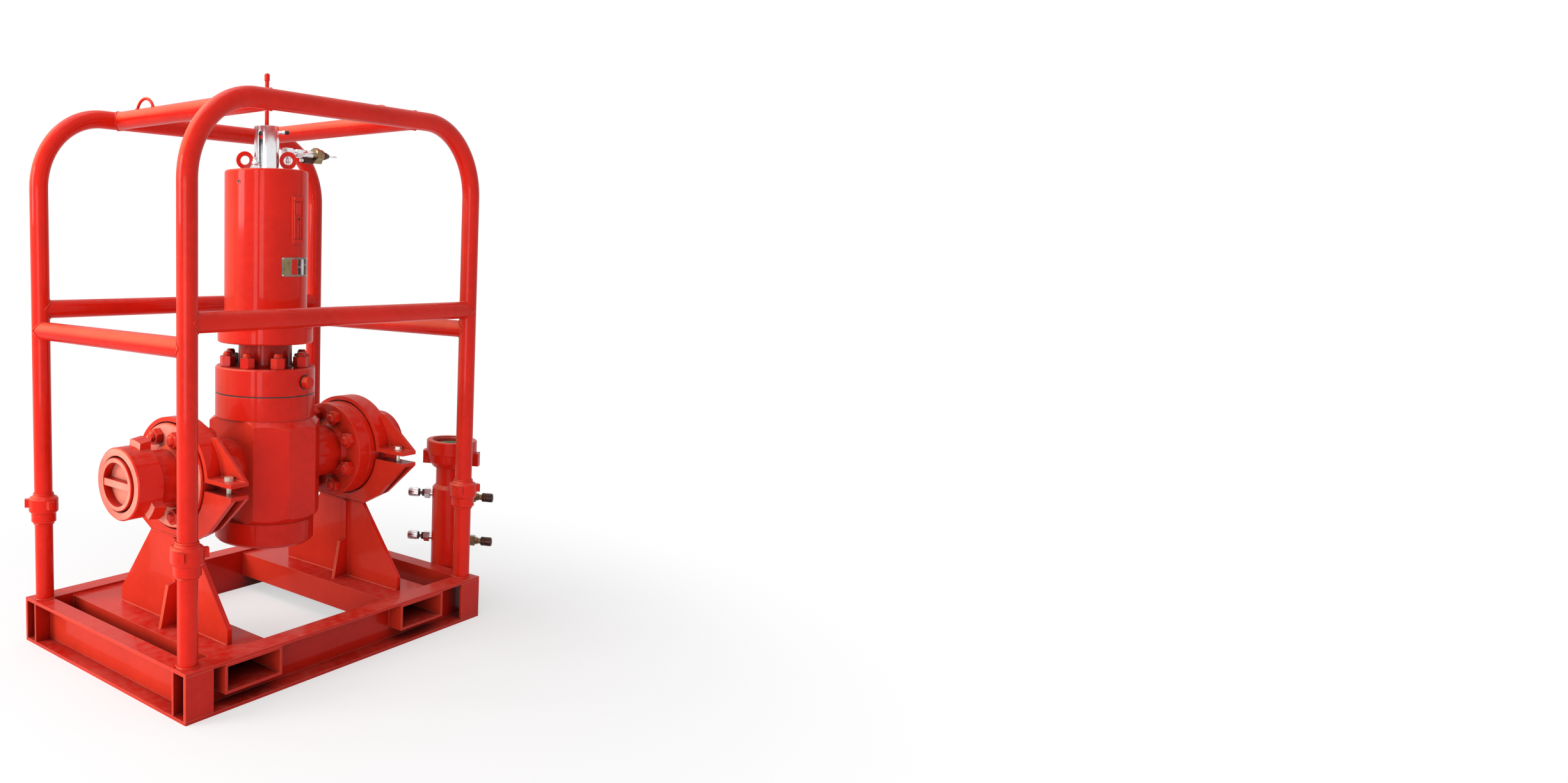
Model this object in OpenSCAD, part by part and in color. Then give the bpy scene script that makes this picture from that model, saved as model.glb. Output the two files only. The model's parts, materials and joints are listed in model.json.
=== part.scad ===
// Surface safety valve stack on a fork-pocket skid with a tubular crash cage.
// Millimetres, +Z up, X along the skid's long side, origin on the floor under the middle of the footprint.

/* [Skid] */
// Length of the skid along X
skid_l = 1340; // [1280:10:1500]
// Width of the skid along Y
skid_w = 900; // [860:10:1000]
// Height of the perimeter channels
skid_h = 150; // [140:5:180]
// Width of a channel's flanges
channel_w = 65; // [60:1:75]
// Thickness of a channel's web
channel_web = 7; // [5:1:9]
// Thickness of a channel's flanges
channel_flange = 10; // [8:1:12]
// Length of the plates that close the long channels at the corners
corner_plate_l = 100; // [80:5:110]
// Thickness of the corner plates
corner_plate_t = 10; // [6:1:12]

/* [Fork tubes] */
// Outside width of a fork tube
fork_w = 220; // [200:5:240]
// Outside height of a fork tube
fork_h = 90; // [80:5:110]
// Wall of a fork tube
fork_wall = 8; // [5:1:10]
// Distance of the left fork tube's middle from the skid's left end
fork_left_inset = 255; // [240:5:270]
// Distance of the right fork tube's middle from the skid's right end
fork_right_inset = 320; // [300:5:330]

/* [Cage] */
// Outside diameter of the cage tube
tube_d = 60.3; // [48:0.1:66]
// Distance of a post's centre from the skid's short end
post_inset_x = 45; // [40:1:55]
// Distance of a post's centre from the skid's long side
post_inset_y = 50; // [45:1:55]
// Height of the top tube's centre line
arch_top_z = 1769; // [1740:1:1820]
// Centre line radius of the arch bends
bend_r = 245; // [220:5:260]
// Height of the front and back rails
rail_long_z = 1130; // [1110:5:1160]
// Height of the end rails
rail_short_z = 1060; // [1040:5:1090]
// Distance of the roof cross tubes from the middle of the skid
cross_x = 320; // [290:5:360]
// Distance of each lifting ring from the middle of its cross tube
ring_y = 235; // [200:5:270]
// Outside radius of a lifting ring
ring_r = 53; // [48:1:56]
// Diameter of a lifting ring's bar
ring_bar_d = 10; // [8:1:12]
// Depth of a lifting ring's middle below the tube's top
ring_sink = 17; // [12:1:22]

/* [Post unions] */
// Height of a union's lower end
union_z = 410; // [400:5:430]
// Height of a union
union_h = 101; // [95:1:110]
// Radius of a union's nut
union_r = 49; // [46:1:54]
// Reach of a union's hammer lugs
union_lug_r = 62; // [58:1:68]
// Width of a hammer lug
union_lug_w = 22; // [18:1:26]
// Direction of the outward lug, away from the skid's long side
union_lug_turn = 34; // [30:1:38]

/* [Valve] */
// Valve axis, along X from the middle of the skid
valve_x = -32; // [-40:1:-25]
// Valve axis, along Y from the middle of the skid
valve_y = -50; // [-60:1:-40]
// Height of the flow line
run_z = 618; // [600:1:640]
// Radius of the body's round neck and foot
body_r = 170; // [168:1:176]
// Distance from the valve axis to the body's end flats, which carry the outlets
end_flat = 150; // [146:1:154]
// Half width of an end flat
end_flat_half = 115; // [110:1:118]
// Distance from the valve axis to the body's side flats
side_flat = 190; // [184:1:194]
// Half width of a side flat
side_flat_half = 60; // [50:1:70]
// Height of the slope between the flats and the round neck or foot
shoulder_h = 28; // [20:1:36]
// Distance from the flow line down to the foot of the body
body_below = 268; // [260:1:290]
// Distance from the flow line up to the body joint
body_above = 237; // [230:1:260]
// Height of the round foot
foot_h = 80; // [60:1:100]
// Height of the round neck
neck_h = 80; // [60:1:100]
// Radius of the side outlets
outlet_r = 90; // [80:1:100]
// Distance from the valve axis to a flange joint
flange_joint = 350; // [346:1:356]

/* [Bonnet] */
// Thickness of the bonnet flange
bonnet_flange_t = 90; // [80:1:100]
// Radius of the bonnet neck
bonnet_neck_r = 91; // [80:1:96]
// Height of the bonnet neck
bonnet_neck_h = 80; // [76:1:90]
// Pitch circle radius of the bonnet studs
bonnet_pitch_r = 133; // [128:1:138]
// Number of bonnet studs
bonnet_studs_n = 8; // [6:1:10]
// Width of a bonnet nut across its flats
bonnet_nut_af = 46; // [40:1:50]
// Height of a bonnet nut with its stud end
bonnet_nut_h = 50; // [44:1:54]
// Radius of the round plug in the bonnet's side
bleed_r = 20; // [16:1:24]
// Reach of the bleed plug from the bonnet's surface
bleed_out = 26; // [20:1:32]
// Depth of the bleed plug in the bonnet
bleed_seat = 20; // [14:1:26]
// Direction of the bleed plug, in plan from the front
bleed_turn = 9; // [0:1:20]

/* [Actuator] */
// Radius of the actuator's base flange
act_flange_r = 162; // [156:1:170]
// Thickness of the actuator's base flange
act_flange_t = 70; // [60:1:80]
// Radius of the actuator cylinder
act_r = 140; // [134:1:146]
// Height of the actuator cylinder
act_h = 502; // [480:1:540]
// Radius of the bright sleeve
sleeve_r = 41.5; // [38:0.5:45]
// Wall of the bright sleeve
sleeve_wall = 7; // [5:1:9]
// Height of the bright sleeve
sleeve_h = 146; // [140:1:160]
// Thickness of the sleeve's top
sleeve_cap = 12; // [10:1:16]
// Width of the sight slot
slot_w = 16; // [12:1:20]
// Distance of the slot's round ends from the sleeve's ends
slot_end = 26; // [24:1:34]
// Direction of the sight slot, in plan
slot_turn = 200; // [180:5:240]
// Radius of the indicator rod
rod_r = 7; // [6:0.5:8]
// Rise of the indicator rod above the sleeve
rod_rise = 173; // [160:1:200]
// Travel of the indicator rod
rod_travel = 100; // [80:1:100]
// Thickness of the guide disc on the rod
guide_t = 12; // [10:1:16]
// Radial running gap of the rod and its guide disc
run_gap = 0.3; // [0.2:0.05:0.5]
// Distance of the lifting eyes from the valve axis
eye_reach = 68; // [64:1:76]
// Outside radius of a lifting eye
eye_r = 29; // [26:1:32]
// Radius of a lifting eye's hole
eye_hole_r = 15; // [12:1:17]
// Thickness of a lifting eye
eye_t = 14; // [10:1:18]
// Distance of the exhaust fitting's riser from the valve axis
exhaust_x = 96; // [90:1:104]
// Height of the exhaust fitting's tube above the actuator
exhaust_rise = 68; // [62:1:74]
// Radius of the exhaust fitting's tube
exhaust_tube_r = 14; // [12:1:16]
// Length of the exhaust fitting's tube
exhaust_tube_l = 120; // [110:1:130]
// Width of the exhaust fitting's nut across its flats
exhaust_nut_af = 44; // [40:1:48]
// Length of the exhaust fitting's nut
exhaust_nut_l = 40; // [34:1:46]
// Drop of the exhaust fitting's side body below its tube
exhaust_side_drop = 21; // [18:1:23]

/* [Flow line ends] */
// How far the flow line flanges are inside the body's radius
flange_step = 2; // [0:1:6]
// Thickness of one flange
flange_t = 53; // [46:1:60]
// Pitch circle radius of the flange bolts
flange_pitch_r = 131; // [126:1:136]
// Number of bolts in a flange
flange_bolts_n = 8; // [6:1:10]
// Width of a flange nut across its flats
flange_nut_af = 46; // [40:1:50]
// Height of a flange nut with its stud end
flange_nut_h = 38; // [32:1:44]
// Radius of the hub between flange and union
hub_r = 88; // [84:1:92]
// Distance from the flange face to the wing nut
hub_free = 95; // [85:1:105]
// Length of the wing nut
wing_l = 96; // [86:1:106]
// Outside radius of the wing nut
wing_r = 113; // [108:1:118]
// Reach of a wing
wing_lug_r = 140; // [134:1:146]
// Width of a wing
wing_lug_w = 56; // [46:1:66]
// Turn of the wings from upright
wing_turn = 8; // [0:1:20]
// Radius of the blanking plug's face
plug_r = 82; // [76:1:84]
// How far the plug stands out of the nut
plug_out = 8; // [4:1:14]
// Radius of the pocket in the plug
pocket_r = 68; // [60:1:72]
// Depth of the pocket in the plug
pocket_depth = 30; // [20:1:36]
// Width of the bar across the pocket
bar_w = 22; // [16:1:28]

/* [Supports] */
// Distance from the valve axis to the middle of a support plate
support_d = 385.5; // [384:0.5:390]
// Thickness of a support plate
support_t = 18; // [14:1:20]
// Reach of a stiffener's foot from the support plate
rib_reach = 70; // [60:1:76]
// Thickness of a stiffener
rib_t = 14; // [10:1:16]
// Distance of a stiffener's front face from the flow line
rib_y = 40; // [30:1:50]
// Radial thickness of the clamp band
band_t = 19; // [16:1:22]
// Reach of the clamp band behind the middle of the support plate
band_back = 60; // [52:1:64]
// Width of the groove between a flange's rim and the band's front edge
rim_gap = 5; // [3:1:6]
// Height of the joint between pedestal and clamp, below the flow line
pad_drop = 195; // [192:1:200]
// Half the width of the pedestal's top
pad_half = 110; // [100:1:115]
// Half the width of the pedestal's foot
pedestal_half = 285; // [260:1:300]
// Height of the pedestal's upright toes
toe_h = 46; // [30:1:60]
// How far the split between the clamp's halves is below the flow line
split_drop = 8; // [0:1:12]
// Gap between the two halves of a clamp
clamp_gap = 28; // [20:1:32]
// Thickness of an ear plate
ear_t = 12; // [10:1:14]
// Reach of the ear tips from the valve axis
ear_reach = 300; // [290:1:310]
// Thickness of the gussets on the ears
gusset_t = 12; // [10:1:14]
// Distance of the ear bolts from the valve axis
ear_bolt_y = 244; // [236:1:256]
// Distance of the ear bolts behind the support plate's middle
ear_bolt_x = 28; // [27:1:31]
// Radius of the ear bolts
ear_bolt_r = 8; // [6:1:10]

/* [Corner spool] */
// Outside radius of the spool tube
spool_r = 69.5; // [66:0.5:71]
// Height of the spool's shoulder
spool_shoulder_z = 440; // [420:5:460]
// Radius of the spool's neck
spool_neck_r = 57; // [52:1:60]
// Height of the spool's top face
spool_top_z = 625; // [600:5:650]
// Height of the spool's union
spool_union_h = 103; // [95:1:115]
// Outside radius of the spool's union
spool_union_r = 95; // [92:1:100]
// Reach of the spool's wings
spool_lug_r = 108; // [104:1:114]
// Radius of the spool's bore
spool_bore_r = 46; // [40:1:50]
// Depth of the spool's bore
spool_bore_depth = 160; // [140:5:180]
// Distance of the spool's axis from the skid's front side
spool_inset_y = 199; // [190:1:210]
// Direction of the spool's wings and fittings, in plan
spool_turn = -62; // [-70:1:-50]
// Height of the lower fittings
fitting_low_z = 240; // [220:5:260]
// Height of the upper fittings
fitting_high_z = 410; // [390:5:420]
// Length of a fitting
fitting_l = 95; // [85:1:105]
// Radius of a fitting's outer body
fitting_r = 17; // [15:1:19]
// Length of a fitting's outer body
fitting_body_l = 40; // [34:1:44]
// Radius of a fitting's neck
fitting_neck_r = 11; // [9:1:13]
// Width of a fitting's hexagon across its flats
fitting_af = 36; // [32:1:40]
// Thickness of the spool's bracket plates
bracket_t = 10; // [8:1:12]

/* [Strip on the actuator] */
// Width of the raised strip
strip_w = 50; // [42:1:56]
// Height of the raised strip
strip_h = 156; // [140:1:165]
// Thickness of the raised strip
strip_t = 7; // [4:1:9]
// Height of the strip's middle above the actuator's foot
strip_z = 337; // [320:1:350]
// Direction of the raised strip, in plan
strip_turn = -85; // [-95:1:-75]

/* [Hidden] */
$fn = 64;

// Gap between curved faces that fit each other
fit = 0.3;
// Overshoot of a cutting solid
over = 1;
paint = [0.84, 0.13, 0.07];
bright = [0.78, 0.79, 0.80];
brass = [0.45, 0.35, 0.20];

tube_r = tube_d / 2;
fork_left_x = fork_left_inset - skid_l / 2;
fork_right_x = skid_l / 2 - fork_right_inset;
post_x = skid_l / 2 - post_inset_x;
post_y = skid_w / 2 - post_inset_y;
web_y = skid_w / 2 - channel_w;
web_x = skid_l / 2 - channel_w;
fork_z = skid_h - channel_flange - fork_h;
deck_z = skid_h - channel_flange;
union_top_z = union_z + union_h;

flange_r = body_r - flange_step;
foot_z = run_z - body_below;
joint_z = run_z + body_above;
block_h = body_below + body_above - foot_h - neck_h;
bonnet_z = joint_z + bonnet_flange_t;
act_z = bonnet_z + bonnet_neck_h;
cylinder_z = act_z + act_flange_t;
sleeve_z = cylinder_z + act_h;
sleeve_top_z = sleeve_z + sleeve_h;

nut_near = flange_joint + flange_t + hub_free;
nut_far = nut_near + wing_l;
pad_z = run_z - pad_drop;
band_r = flange_r + band_t;

spool_x = skid_l / 2 + spool_r + 0.5;
spool_y = spool_inset_y - skid_w / 2;
spool_foot_z = channel_flange + bracket_t;
spool_union_z = spool_top_z - spool_union_h;
footprint_left = post_x + union_lug_r * cos(union_lug_turn - asin(union_lug_w / 2 / union_lug_r));
fitting_reach = (spool_r - 2 + fitting_l) * cos(spool_turn) - fitting_r * sin(spool_turn);
footprint_right = spool_x + max(spool_union_r, fitting_reach);
shift_x = (footprint_left - footprint_right) / 2;

module place() translate([shift_x, 0, 0]) children();
module at_valve(z = 0) translate([valve_x, valve_y, z]) children();
module each_post() for (x = [-1, 1], y = [-1, 1]) translate([x * post_x, y * post_y, 0]) children();
module revolve(points) rotate_extrude() polygon(points);
module hex_bar(af, h) cylinder(r = af / sqrt(3), h = h, $fn = 6);

// Turns a shape that points up so that it points along +X (side 1) or -X (side -1) from the valve axis
module along_run(side) at_valve(run_z) rotate([0, side * 90, 0]) children();
// Stands in the middle plane of a support plate on one side of the valve
module at_support(side) at_valve(run_z) translate([side * support_d, 0, 0]) children();
// Extrudes a profile drawn in Y and Z across X, centred on the plane
module plate_yz(t) rotate([90, 0, 90]) translate([0, 0, -t / 2]) linear_extrude(t) children();
module mirror_copy(v) {
    children();
    mirror(v) children();
}

module channel_profile() difference() {
    square([channel_w, skid_h]);
    translate([channel_web, channel_flange]) square([channel_w, skid_h - 2 * channel_flange]);
}

module fork_holes() for (x = [fork_left_x, fork_right_x])
    translate([x - fork_w / 2, -skid_w / 2 - over, fork_z]) cube([fork_w, skid_w + 2 * over, fork_h]);

module skid_side(side) color(paint) difference() {
    scale([1, side, 1]) translate([-skid_l / 2, web_y, 0])
        rotate([90, 0, 90]) linear_extrude(skid_l) channel_profile();
    fork_holes();
}
module skid_end(side) color(paint) scale([side, 1, 1]) translate([web_x, web_y, 0])
    rotate([90, 0, 0]) linear_extrude(2 * web_y) channel_profile();
module corner_plates() color(paint) for (x = [-1, 1], y = [-1, 1]) scale([x, y, 1])
    translate([skid_l / 2 - corner_plate_l, skid_w / 2 - corner_plate_t, channel_flange])
        cube([corner_plate_l, corner_plate_t, skid_h - 2 * channel_flange]);
module fork_tube(x) color(paint) translate([x, skid_w / 2, fork_z]) rotate([90, 0, 0]) linear_extrude(skid_w)
    difference() {
        translate([-fork_w / 2, 0]) square([fork_w, fork_h]);
        translate([-fork_w / 2 + fork_wall, fork_wall])
            square([fork_w - 2 * fork_wall, fork_h - 2 * fork_wall]);
    }

module post_stubs() color(paint) each_post()
    translate([0, 0, skid_h]) cylinder(r = tube_r, h = union_z - skid_h);
module post_union() {
    revolve([
        [0, 0], [tube_r + 1, 0], [tube_r + 11, 8], [tube_r + 11, 36], [union_r - 3, 40], [union_r, 44],
        [union_r, union_h - 16], [union_r - 5, union_h - 11], [tube_r + 9, union_h - 9],
        [tube_r + 1, union_h], [0, union_h],
    ]);
    for (a = [0:120:240]) rotate(a + union_lug_turn) translate([0, 0, union_h - 45]) intersection() {
        translate([tube_r, -union_lug_w / 2, 0]) cube([union_lug_r - tube_r, union_lug_w, 27]);
        cylinder(r = union_lug_r, h = 27);
    }
}
module post_unions() color(paint)
    for (x = [-1, 1], y = [-1, 1]) scale([x, y, 1]) translate([post_x, post_y, union_z]) post_union();

module arch(side) color(paint) translate([0, side * post_y, 0]) for (x = [-1, 1]) scale([x, 1, 1]) {
    translate([post_x, 0, union_top_z]) cylinder(r = tube_r, h = arch_top_z - bend_r - union_top_z);
    translate([post_x - bend_r, 0, arch_top_z - bend_r]) rotate([90, 0, 0])
        rotate_extrude(angle = 90) translate([bend_r, 0]) circle(r = tube_r);
    translate([-over, 0, arch_top_z]) rotate([0, 90, 0]) cylinder(r = tube_r, h = post_x - bend_r + over);
}

// A straight tube between two parallel tubes, its ends cut to seat on them
module rail_long(side) color(paint) translate([0, side * post_y, 0]) difference() {
    translate([-post_x, 0, rail_long_z]) rotate([0, 90, 0]) cylinder(r = tube_r, h = 2 * post_x);
    for (x = [-post_x, post_x]) translate([x, 0, rail_long_z - tube_d])
        cylinder(r = tube_r + fit, h = 2 * tube_d);
}
module rail_short(side) color(paint) translate([side * post_x, 0, 0]) difference() {
    translate([0, -post_y, rail_short_z]) rotate([-90, 0, 0]) cylinder(r = tube_r, h = 2 * post_y);
    for (y = [-post_y, post_y]) translate([0, y, rail_short_z - tube_d])
        cylinder(r = tube_r + fit, h = 2 * tube_d);
}
module cross_tube(side) color(paint) translate([side * cross_x, 0, arch_top_z]) difference() {
    translate([0, -post_y, 0]) rotate([-90, 0, 0]) cylinder(r = tube_r, h = 2 * post_y);
    for (y = [-post_y, post_y]) translate([0, y, 0]) rotate([0, 90, 0])
        cylinder(r = tube_r + fit, h = 2 * tube_d, center = true);
}
module lifting_rings() color(paint) for (side = [-1, 1]) difference() {
    translate([side * cross_x, -side * ring_y, arch_top_z + tube_r - ring_sink]) rotate([0, 90, 0])
        rotate_extrude() translate([ring_r - ring_bar_d / 2, 0]) circle(d = ring_bar_d, $fn = 24);
    translate([side * cross_x, 0, arch_top_z]) rotate([90, 0, 0])
        cylinder(r = tube_r + fit / 2, h = skid_w, center = true);
    translate([side * cross_x, 0, arch_top_z - ring_r]) cube([2 * tube_d, skid_w, 2 * ring_r], center = true);
}

module pedestal_outline() polygon([
    [-pedestal_half, 0], [pedestal_half, 0], [pedestal_half, toe_h], [pad_half, pad_z - deck_z],
    [-pad_half, pad_z - deck_z], [-pedestal_half, toe_h],
]);
// The stiffener on a pedestal's left face, drawn in X and Z
module stiffener_outline() let (top = pad_z - deck_z, shelf = top / 2) polygon([
    [0, 0], [-support_t / 2 - rib_reach, 0], [-support_t / 2 - rib_reach * 0.58, shelf - 6],
    [-support_t / 2 - rib_t, shelf], [-support_t / 2 - rib_t, top], [0, top],
]);
module pedestal(side) color(paint) translate([valve_x + side * support_d, valve_y, deck_z]) {
    plate_yz(support_t) pedestal_outline();
    translate([0, rib_t - rib_y, 0]) rotate([90, 0, 0]) linear_extrude(rib_t) stiffener_outline();
}

// A half plane above or below the split between a clamp's halves
module half_plane(up) let (low = up ? clamp_gap / 2 : -clamp_gap / 2 - 2 * ear_reach)
    translate([-2 * ear_reach, low - split_drop]) square([4 * ear_reach, 2 * ear_reach]);
// The ears' outlines beside the band, drawn in Y and Z
module upper_gusset_outline() let (a = 45, low = clamp_gap / 2 - split_drop) polygon([
    [0, low], [ear_reach, low], [ear_reach, low + ear_t],
    [band_r * cos(a) + 25, band_r * sin(a)], [0, band_r * sin(a)],
]);
module lower_ear_outline(corner_y, corner_z, foot_y) let (low = -clamp_gap / 2 - split_drop) polygon([
    [0, low], [ear_reach, low], [ear_reach, low - ear_t],
    [corner_y, -corner_z], [foot_y, -pad_drop], [0, -pad_drop],
]);
module clamp_band(up) rotate([90, 0, 90]) translate([0, 0, -support_t / 2])
    linear_extrude(support_t / 2 + band_back) intersection() {
        circle(r = band_r);
        half_plane(up);
    }
module clamp_half(side, up) color(paint) at_support(side) difference() {
    union() {
        clamp_band(up);
        if (!up) plate_yz(support_t) mirror_copy([1, 0]) lower_ear_outline(band_r, band_r - 34, pad_half);
        translate([band_back - gusset_t / 2, 0, 0]) plate_yz(gusset_t) mirror_copy([1, 0])
            if (up) upper_gusset_outline(); else lower_ear_outline(band_r - 12, band_r - 36, 90);
        mirror_copy([0, 1, 0]) let (low = up ? clamp_gap / 2 : -clamp_gap / 2 - ear_t)
            translate([-support_t / 2, 0, low - split_drop])
                cube([support_t / 2 + band_back, ear_reach, ear_t]);
    }
    translate([-support_t, 0, 0]) rotate([0, 90, 0]) cylinder(r = flange_r + fit, h = 3 * band_back);
    translate([-support_t / 2 - over, 0, 0]) rotate([0, 90, 0])
        cylinder(r = flange_r + rim_gap, h = over + 12);
    for (y = [-ear_bolt_y, ear_bolt_y]) translate([ear_bolt_x, y, -split_drop])
        cylinder(r = ear_bolt_r + 1, h = clamp_gap + 2 * ear_t + 2 * over, center = true);
}
module clamp_bolt() {
    grip = clamp_gap / 2 + ear_t + fit / 2;
    cylinder(r = ear_bolt_r, h = 2 * grip + 34, center = true);
    translate([0, 0, grip]) hex_bar(28, 12);
    translate([0, 0, -grip - 14]) hex_bar(28, 14);
}
module clamp_bolts() color(bright) for (side = [-1, 1], y = [-ear_bolt_y, ear_bolt_y])
    at_support(side) translate([ear_bolt_x, y, -split_drop]) clamp_bolt();

module body_block() let (corner_r = norm([side_flat, side_flat_half]) + 1) intersection() {
    linear_extrude(block_h) polygon([
        [end_flat, -end_flat_half], [end_flat, end_flat_half], [side_flat_half, side_flat],
        [-side_flat_half, side_flat], [-end_flat, end_flat_half], [-end_flat, -end_flat_half],
        [-side_flat_half, -side_flat], [side_flat_half, -side_flat],
    ]);
    revolve([
        [0, 0], [body_r - 2, 0], [corner_r, shoulder_h],
        [corner_r, block_h - shoulder_h], [body_r - 2, block_h], [0, block_h],
    ]);
}
module valve_body() color(paint) {
    at_valve(foot_z) revolve([[0, 0], [body_r - 8, 0], [body_r, 8], [body_r, foot_h], [0, foot_h]]);
    at_valve(foot_z + foot_h) body_block();
    at_valve(joint_z - neck_h)
        revolve([[0, 0], [body_r, 0], [body_r, neck_h - 3], [body_r - 3, neck_h], [0, neck_h]]);
    for (side = [-1, 1]) along_run(side) revolve([
        [0, 0], [outlet_r, 0], [outlet_r, flange_joint - flange_t - 12],
        [outlet_r + 12, flange_joint - flange_t],
        [flange_r - 3, flange_joint - flange_t], [flange_r, flange_joint - flange_t + 3],
        [flange_r, flange_joint - 2], [flange_r - 2, flange_joint], [0, flange_joint],
    ]);
}

module bonnet() color(paint) at_valve(joint_z) difference() {
    revolve([
        [0, 0], [body_r - 3, 0], [body_r, 3], [body_r, bonnet_flange_t - 5], [body_r - 5, bonnet_flange_t],
        [bonnet_neck_r + 8, bonnet_flange_t], [bonnet_neck_r, bonnet_flange_t + 8],
        [bonnet_neck_r, bonnet_flange_t + bonnet_neck_h], [0, bonnet_flange_t + bonnet_neck_h],
    ]);
    rotate(bleed_turn) translate([0, -body_r - over, bonnet_flange_t / 2]) rotate([-90, 0, 0])
        cylinder(r = bleed_r + fit, h = bleed_seat + over);
}
module stud_nut(af, h) {
    hex_bar(af, h * 0.72);
    revolve([[0, h * 0.7], [af * 0.36, h * 0.7], [af * 0.36, h - 3], [af * 0.36 - 3, h], [0, h]]);
}
module bonnet_nuts() color(paint) at_valve(bonnet_z) for (i = [0:bonnet_studs_n - 1])
    rotate(360 / bonnet_studs_n * (i + 0.5)) translate([bonnet_pitch_r, 0, 0])
        stud_nut(bonnet_nut_af, bonnet_nut_h);
module bleed_plug() color(paint) at_valve(joint_z + bonnet_flange_t / 2) rotate(bleed_turn)
    translate([0, bleed_seat - body_r, 0]) rotate([90, 0, 0]) let (l = bleed_seat + bleed_out)
        revolve([[0, 0], [bleed_r, 0], [bleed_r, l - 3], [bleed_r - 3, l], [0, l]]);

// Adapter flange with its hub, whose end sits inside the wing nut
module end_flange(side) color(paint) along_run(side) translate([0, 0, flange_joint]) revolve([
    [0, 0], [flange_r - 2, 0], [flange_r, 2], [flange_r, flange_t - 4], [flange_r - 4, flange_t],
    [hub_r + 14, flange_t], [hub_r, flange_t + 14], [hub_r, flange_t + hub_free + wing_l / 2],
    [0, flange_t + hub_free + wing_l / 2],
]);
module flange_nuts() color(paint) for (side = [-1, 1], i = [0:flange_bolts_n - 1]) along_run(side)
    rotate(360 / flange_bolts_n * (i + 0.5)) translate([flange_pitch_r, 0, 0]) {
        translate([0, 0, flange_joint + flange_t]) stud_nut(flange_nut_af, flange_nut_h);
        translate([0, 0, flange_joint - flange_t]) rotate([180, 0, 0]) stud_nut(flange_nut_af, flange_nut_h);
    }
module wing_nut(side) color(paint) along_run(side) difference() {
    translate([0, 0, nut_near]) union() {
        revolve([
            [0, 0], [wing_r - 5, 0], [wing_r, 5], [wing_r, wing_l - 4], [wing_r - 4, wing_l], [0, wing_l],
        ]);
        for (a = [0:120:240]) rotate(a - wing_turn) intersection() {
            translate([0, -wing_lug_w / 2, 4]) cube([wing_lug_r, wing_lug_w, 40]);
            cylinder(r1 = wing_lug_r, r2 = wing_lug_r - 8, h = 50);
        }
    }
    translate([0, 0, nut_near - over]) cylinder(r = hub_r + fit, h = wing_l + 2 * over);
}
module blank_plug(side) color(paint) along_run(side) translate([0, 0, nut_near + wing_l / 2]) {
    l = wing_l / 2 + plug_out;
    difference() {
        revolve([
            [0, 0], [hub_r, 0], [hub_r, l - 40], [plug_r, l - 34], [plug_r, l - 2], [plug_r - 2, l], [0, l],
        ]);
        translate([0, 0, l - pocket_depth]) cylinder(r = pocket_r, h = pocket_depth + over);
    }
    translate([0, 0, l - pocket_depth]) intersection() {
        cylinder(r = pocket_r, h = pocket_depth - 3);
        translate([-bar_w / 2, -pocket_r, 0]) cube([bar_w, 2 * pocket_r, pocket_depth]);
    }
}

module actuator_flange() color(paint) at_valve(act_z) revolve([
    [0, 0], [act_flange_r - 4, 0], [act_flange_r, 4], [act_flange_r, act_flange_t - 6],
    [act_flange_r - 6, act_flange_t], [0, act_flange_t],
]);
module actuator_cylinder() color(paint) at_valve(cylinder_z) {
    revolve([[0, 0], [act_r, 0], [act_r, act_h - 6], [act_r - 2, act_h - 2], [act_r - 6, act_h], [0, act_h]]);
    rotate(strip_turn) translate([0, 0, strip_z - strip_h / 2]) intersection() {
        cylinder(r = act_r + strip_t, h = strip_h);
        translate([0, -strip_w / 2, 0]) cube([2 * act_r, strip_w, strip_h]);
    }
}
module actuator_eyes() color(paint) at_valve(sleeve_z) for (a = [-44, 136]) rotate(a) {
    translate([eye_reach + 4, 0, 0]) cylinder(r = 10, h = 8);
    translate([eye_reach + 4, 0, 6 + eye_r]) rotate([90, 0, 0]) difference() {
        cylinder(r = eye_r, h = eye_t, center = true);
        cylinder(r = eye_hole_r, h = 2 * eye_t, center = true);
    }
}
module indicator_sleeve() color(bright) at_valve(sleeve_z) difference() {
    cylinder(r = sleeve_r, h = sleeve_h);
    translate([0, 0, -over]) cylinder(r = sleeve_r - sleeve_wall, h = sleeve_h - sleeve_cap + over);
    cylinder(r = rod_r + run_gap, h = sleeve_h + over);
    rotate(slot_turn) translate([0, 0, slot_end]) rotate([90, 0, 90])
        linear_extrude(2 * sleeve_r + 2 * over, center = true) {
            translate([-slot_w / 2, 0]) square([slot_w, sleeve_h - 2 * slot_end]);
            for (z = [0, sleeve_h - 2 * slot_end]) translate([0, z]) circle(d = slot_w);
        }
}
module indicator_rod() color(paint) at_valve(sleeve_z + rod_travel + 3) {
    cylinder(r = sleeve_r - sleeve_wall - run_gap, h = guide_t);
    cylinder(r = rod_r, h = sleeve_h + rod_rise - rod_travel - 3 - 24);
    translate([0, 0, sleeve_h + rod_rise - rod_travel - 27])
        revolve([[0, -2], [rod_r, -2], [rod_r + 2, 2], [rod_r + 2, 20], [rod_r - 1, 24], [0, 24]]);
}
module exhaust_fitting() color(bright) at_valve(sleeve_z) translate([exhaust_x, 0, 0]) {
    hex_bar(30, 16);
    cylinder(r = 11, h = exhaust_rise);
    translate([0, 0, exhaust_rise]) rotate([0, 90, 0]) {
        translate([0, 0, -16]) hex_bar(30, 32);
        cylinder(r = exhaust_tube_r, h = exhaust_tube_l);
        translate([0, 0, exhaust_tube_l]) {
            rotate(30) hex_bar(exhaust_nut_af, exhaust_nut_l);
            translate([0, 0, exhaust_nut_l]) cylinder(r1 = 15, r2 = 7, h = 32);
            cylinder(r = 3, h = exhaust_nut_l + 74);
        }
        translate([exhaust_side_drop, 0, 70]) {
            cylinder(r = 10, h = 48);
            cylinder(r = 8, h = 88);
        }
    }
}

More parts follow.
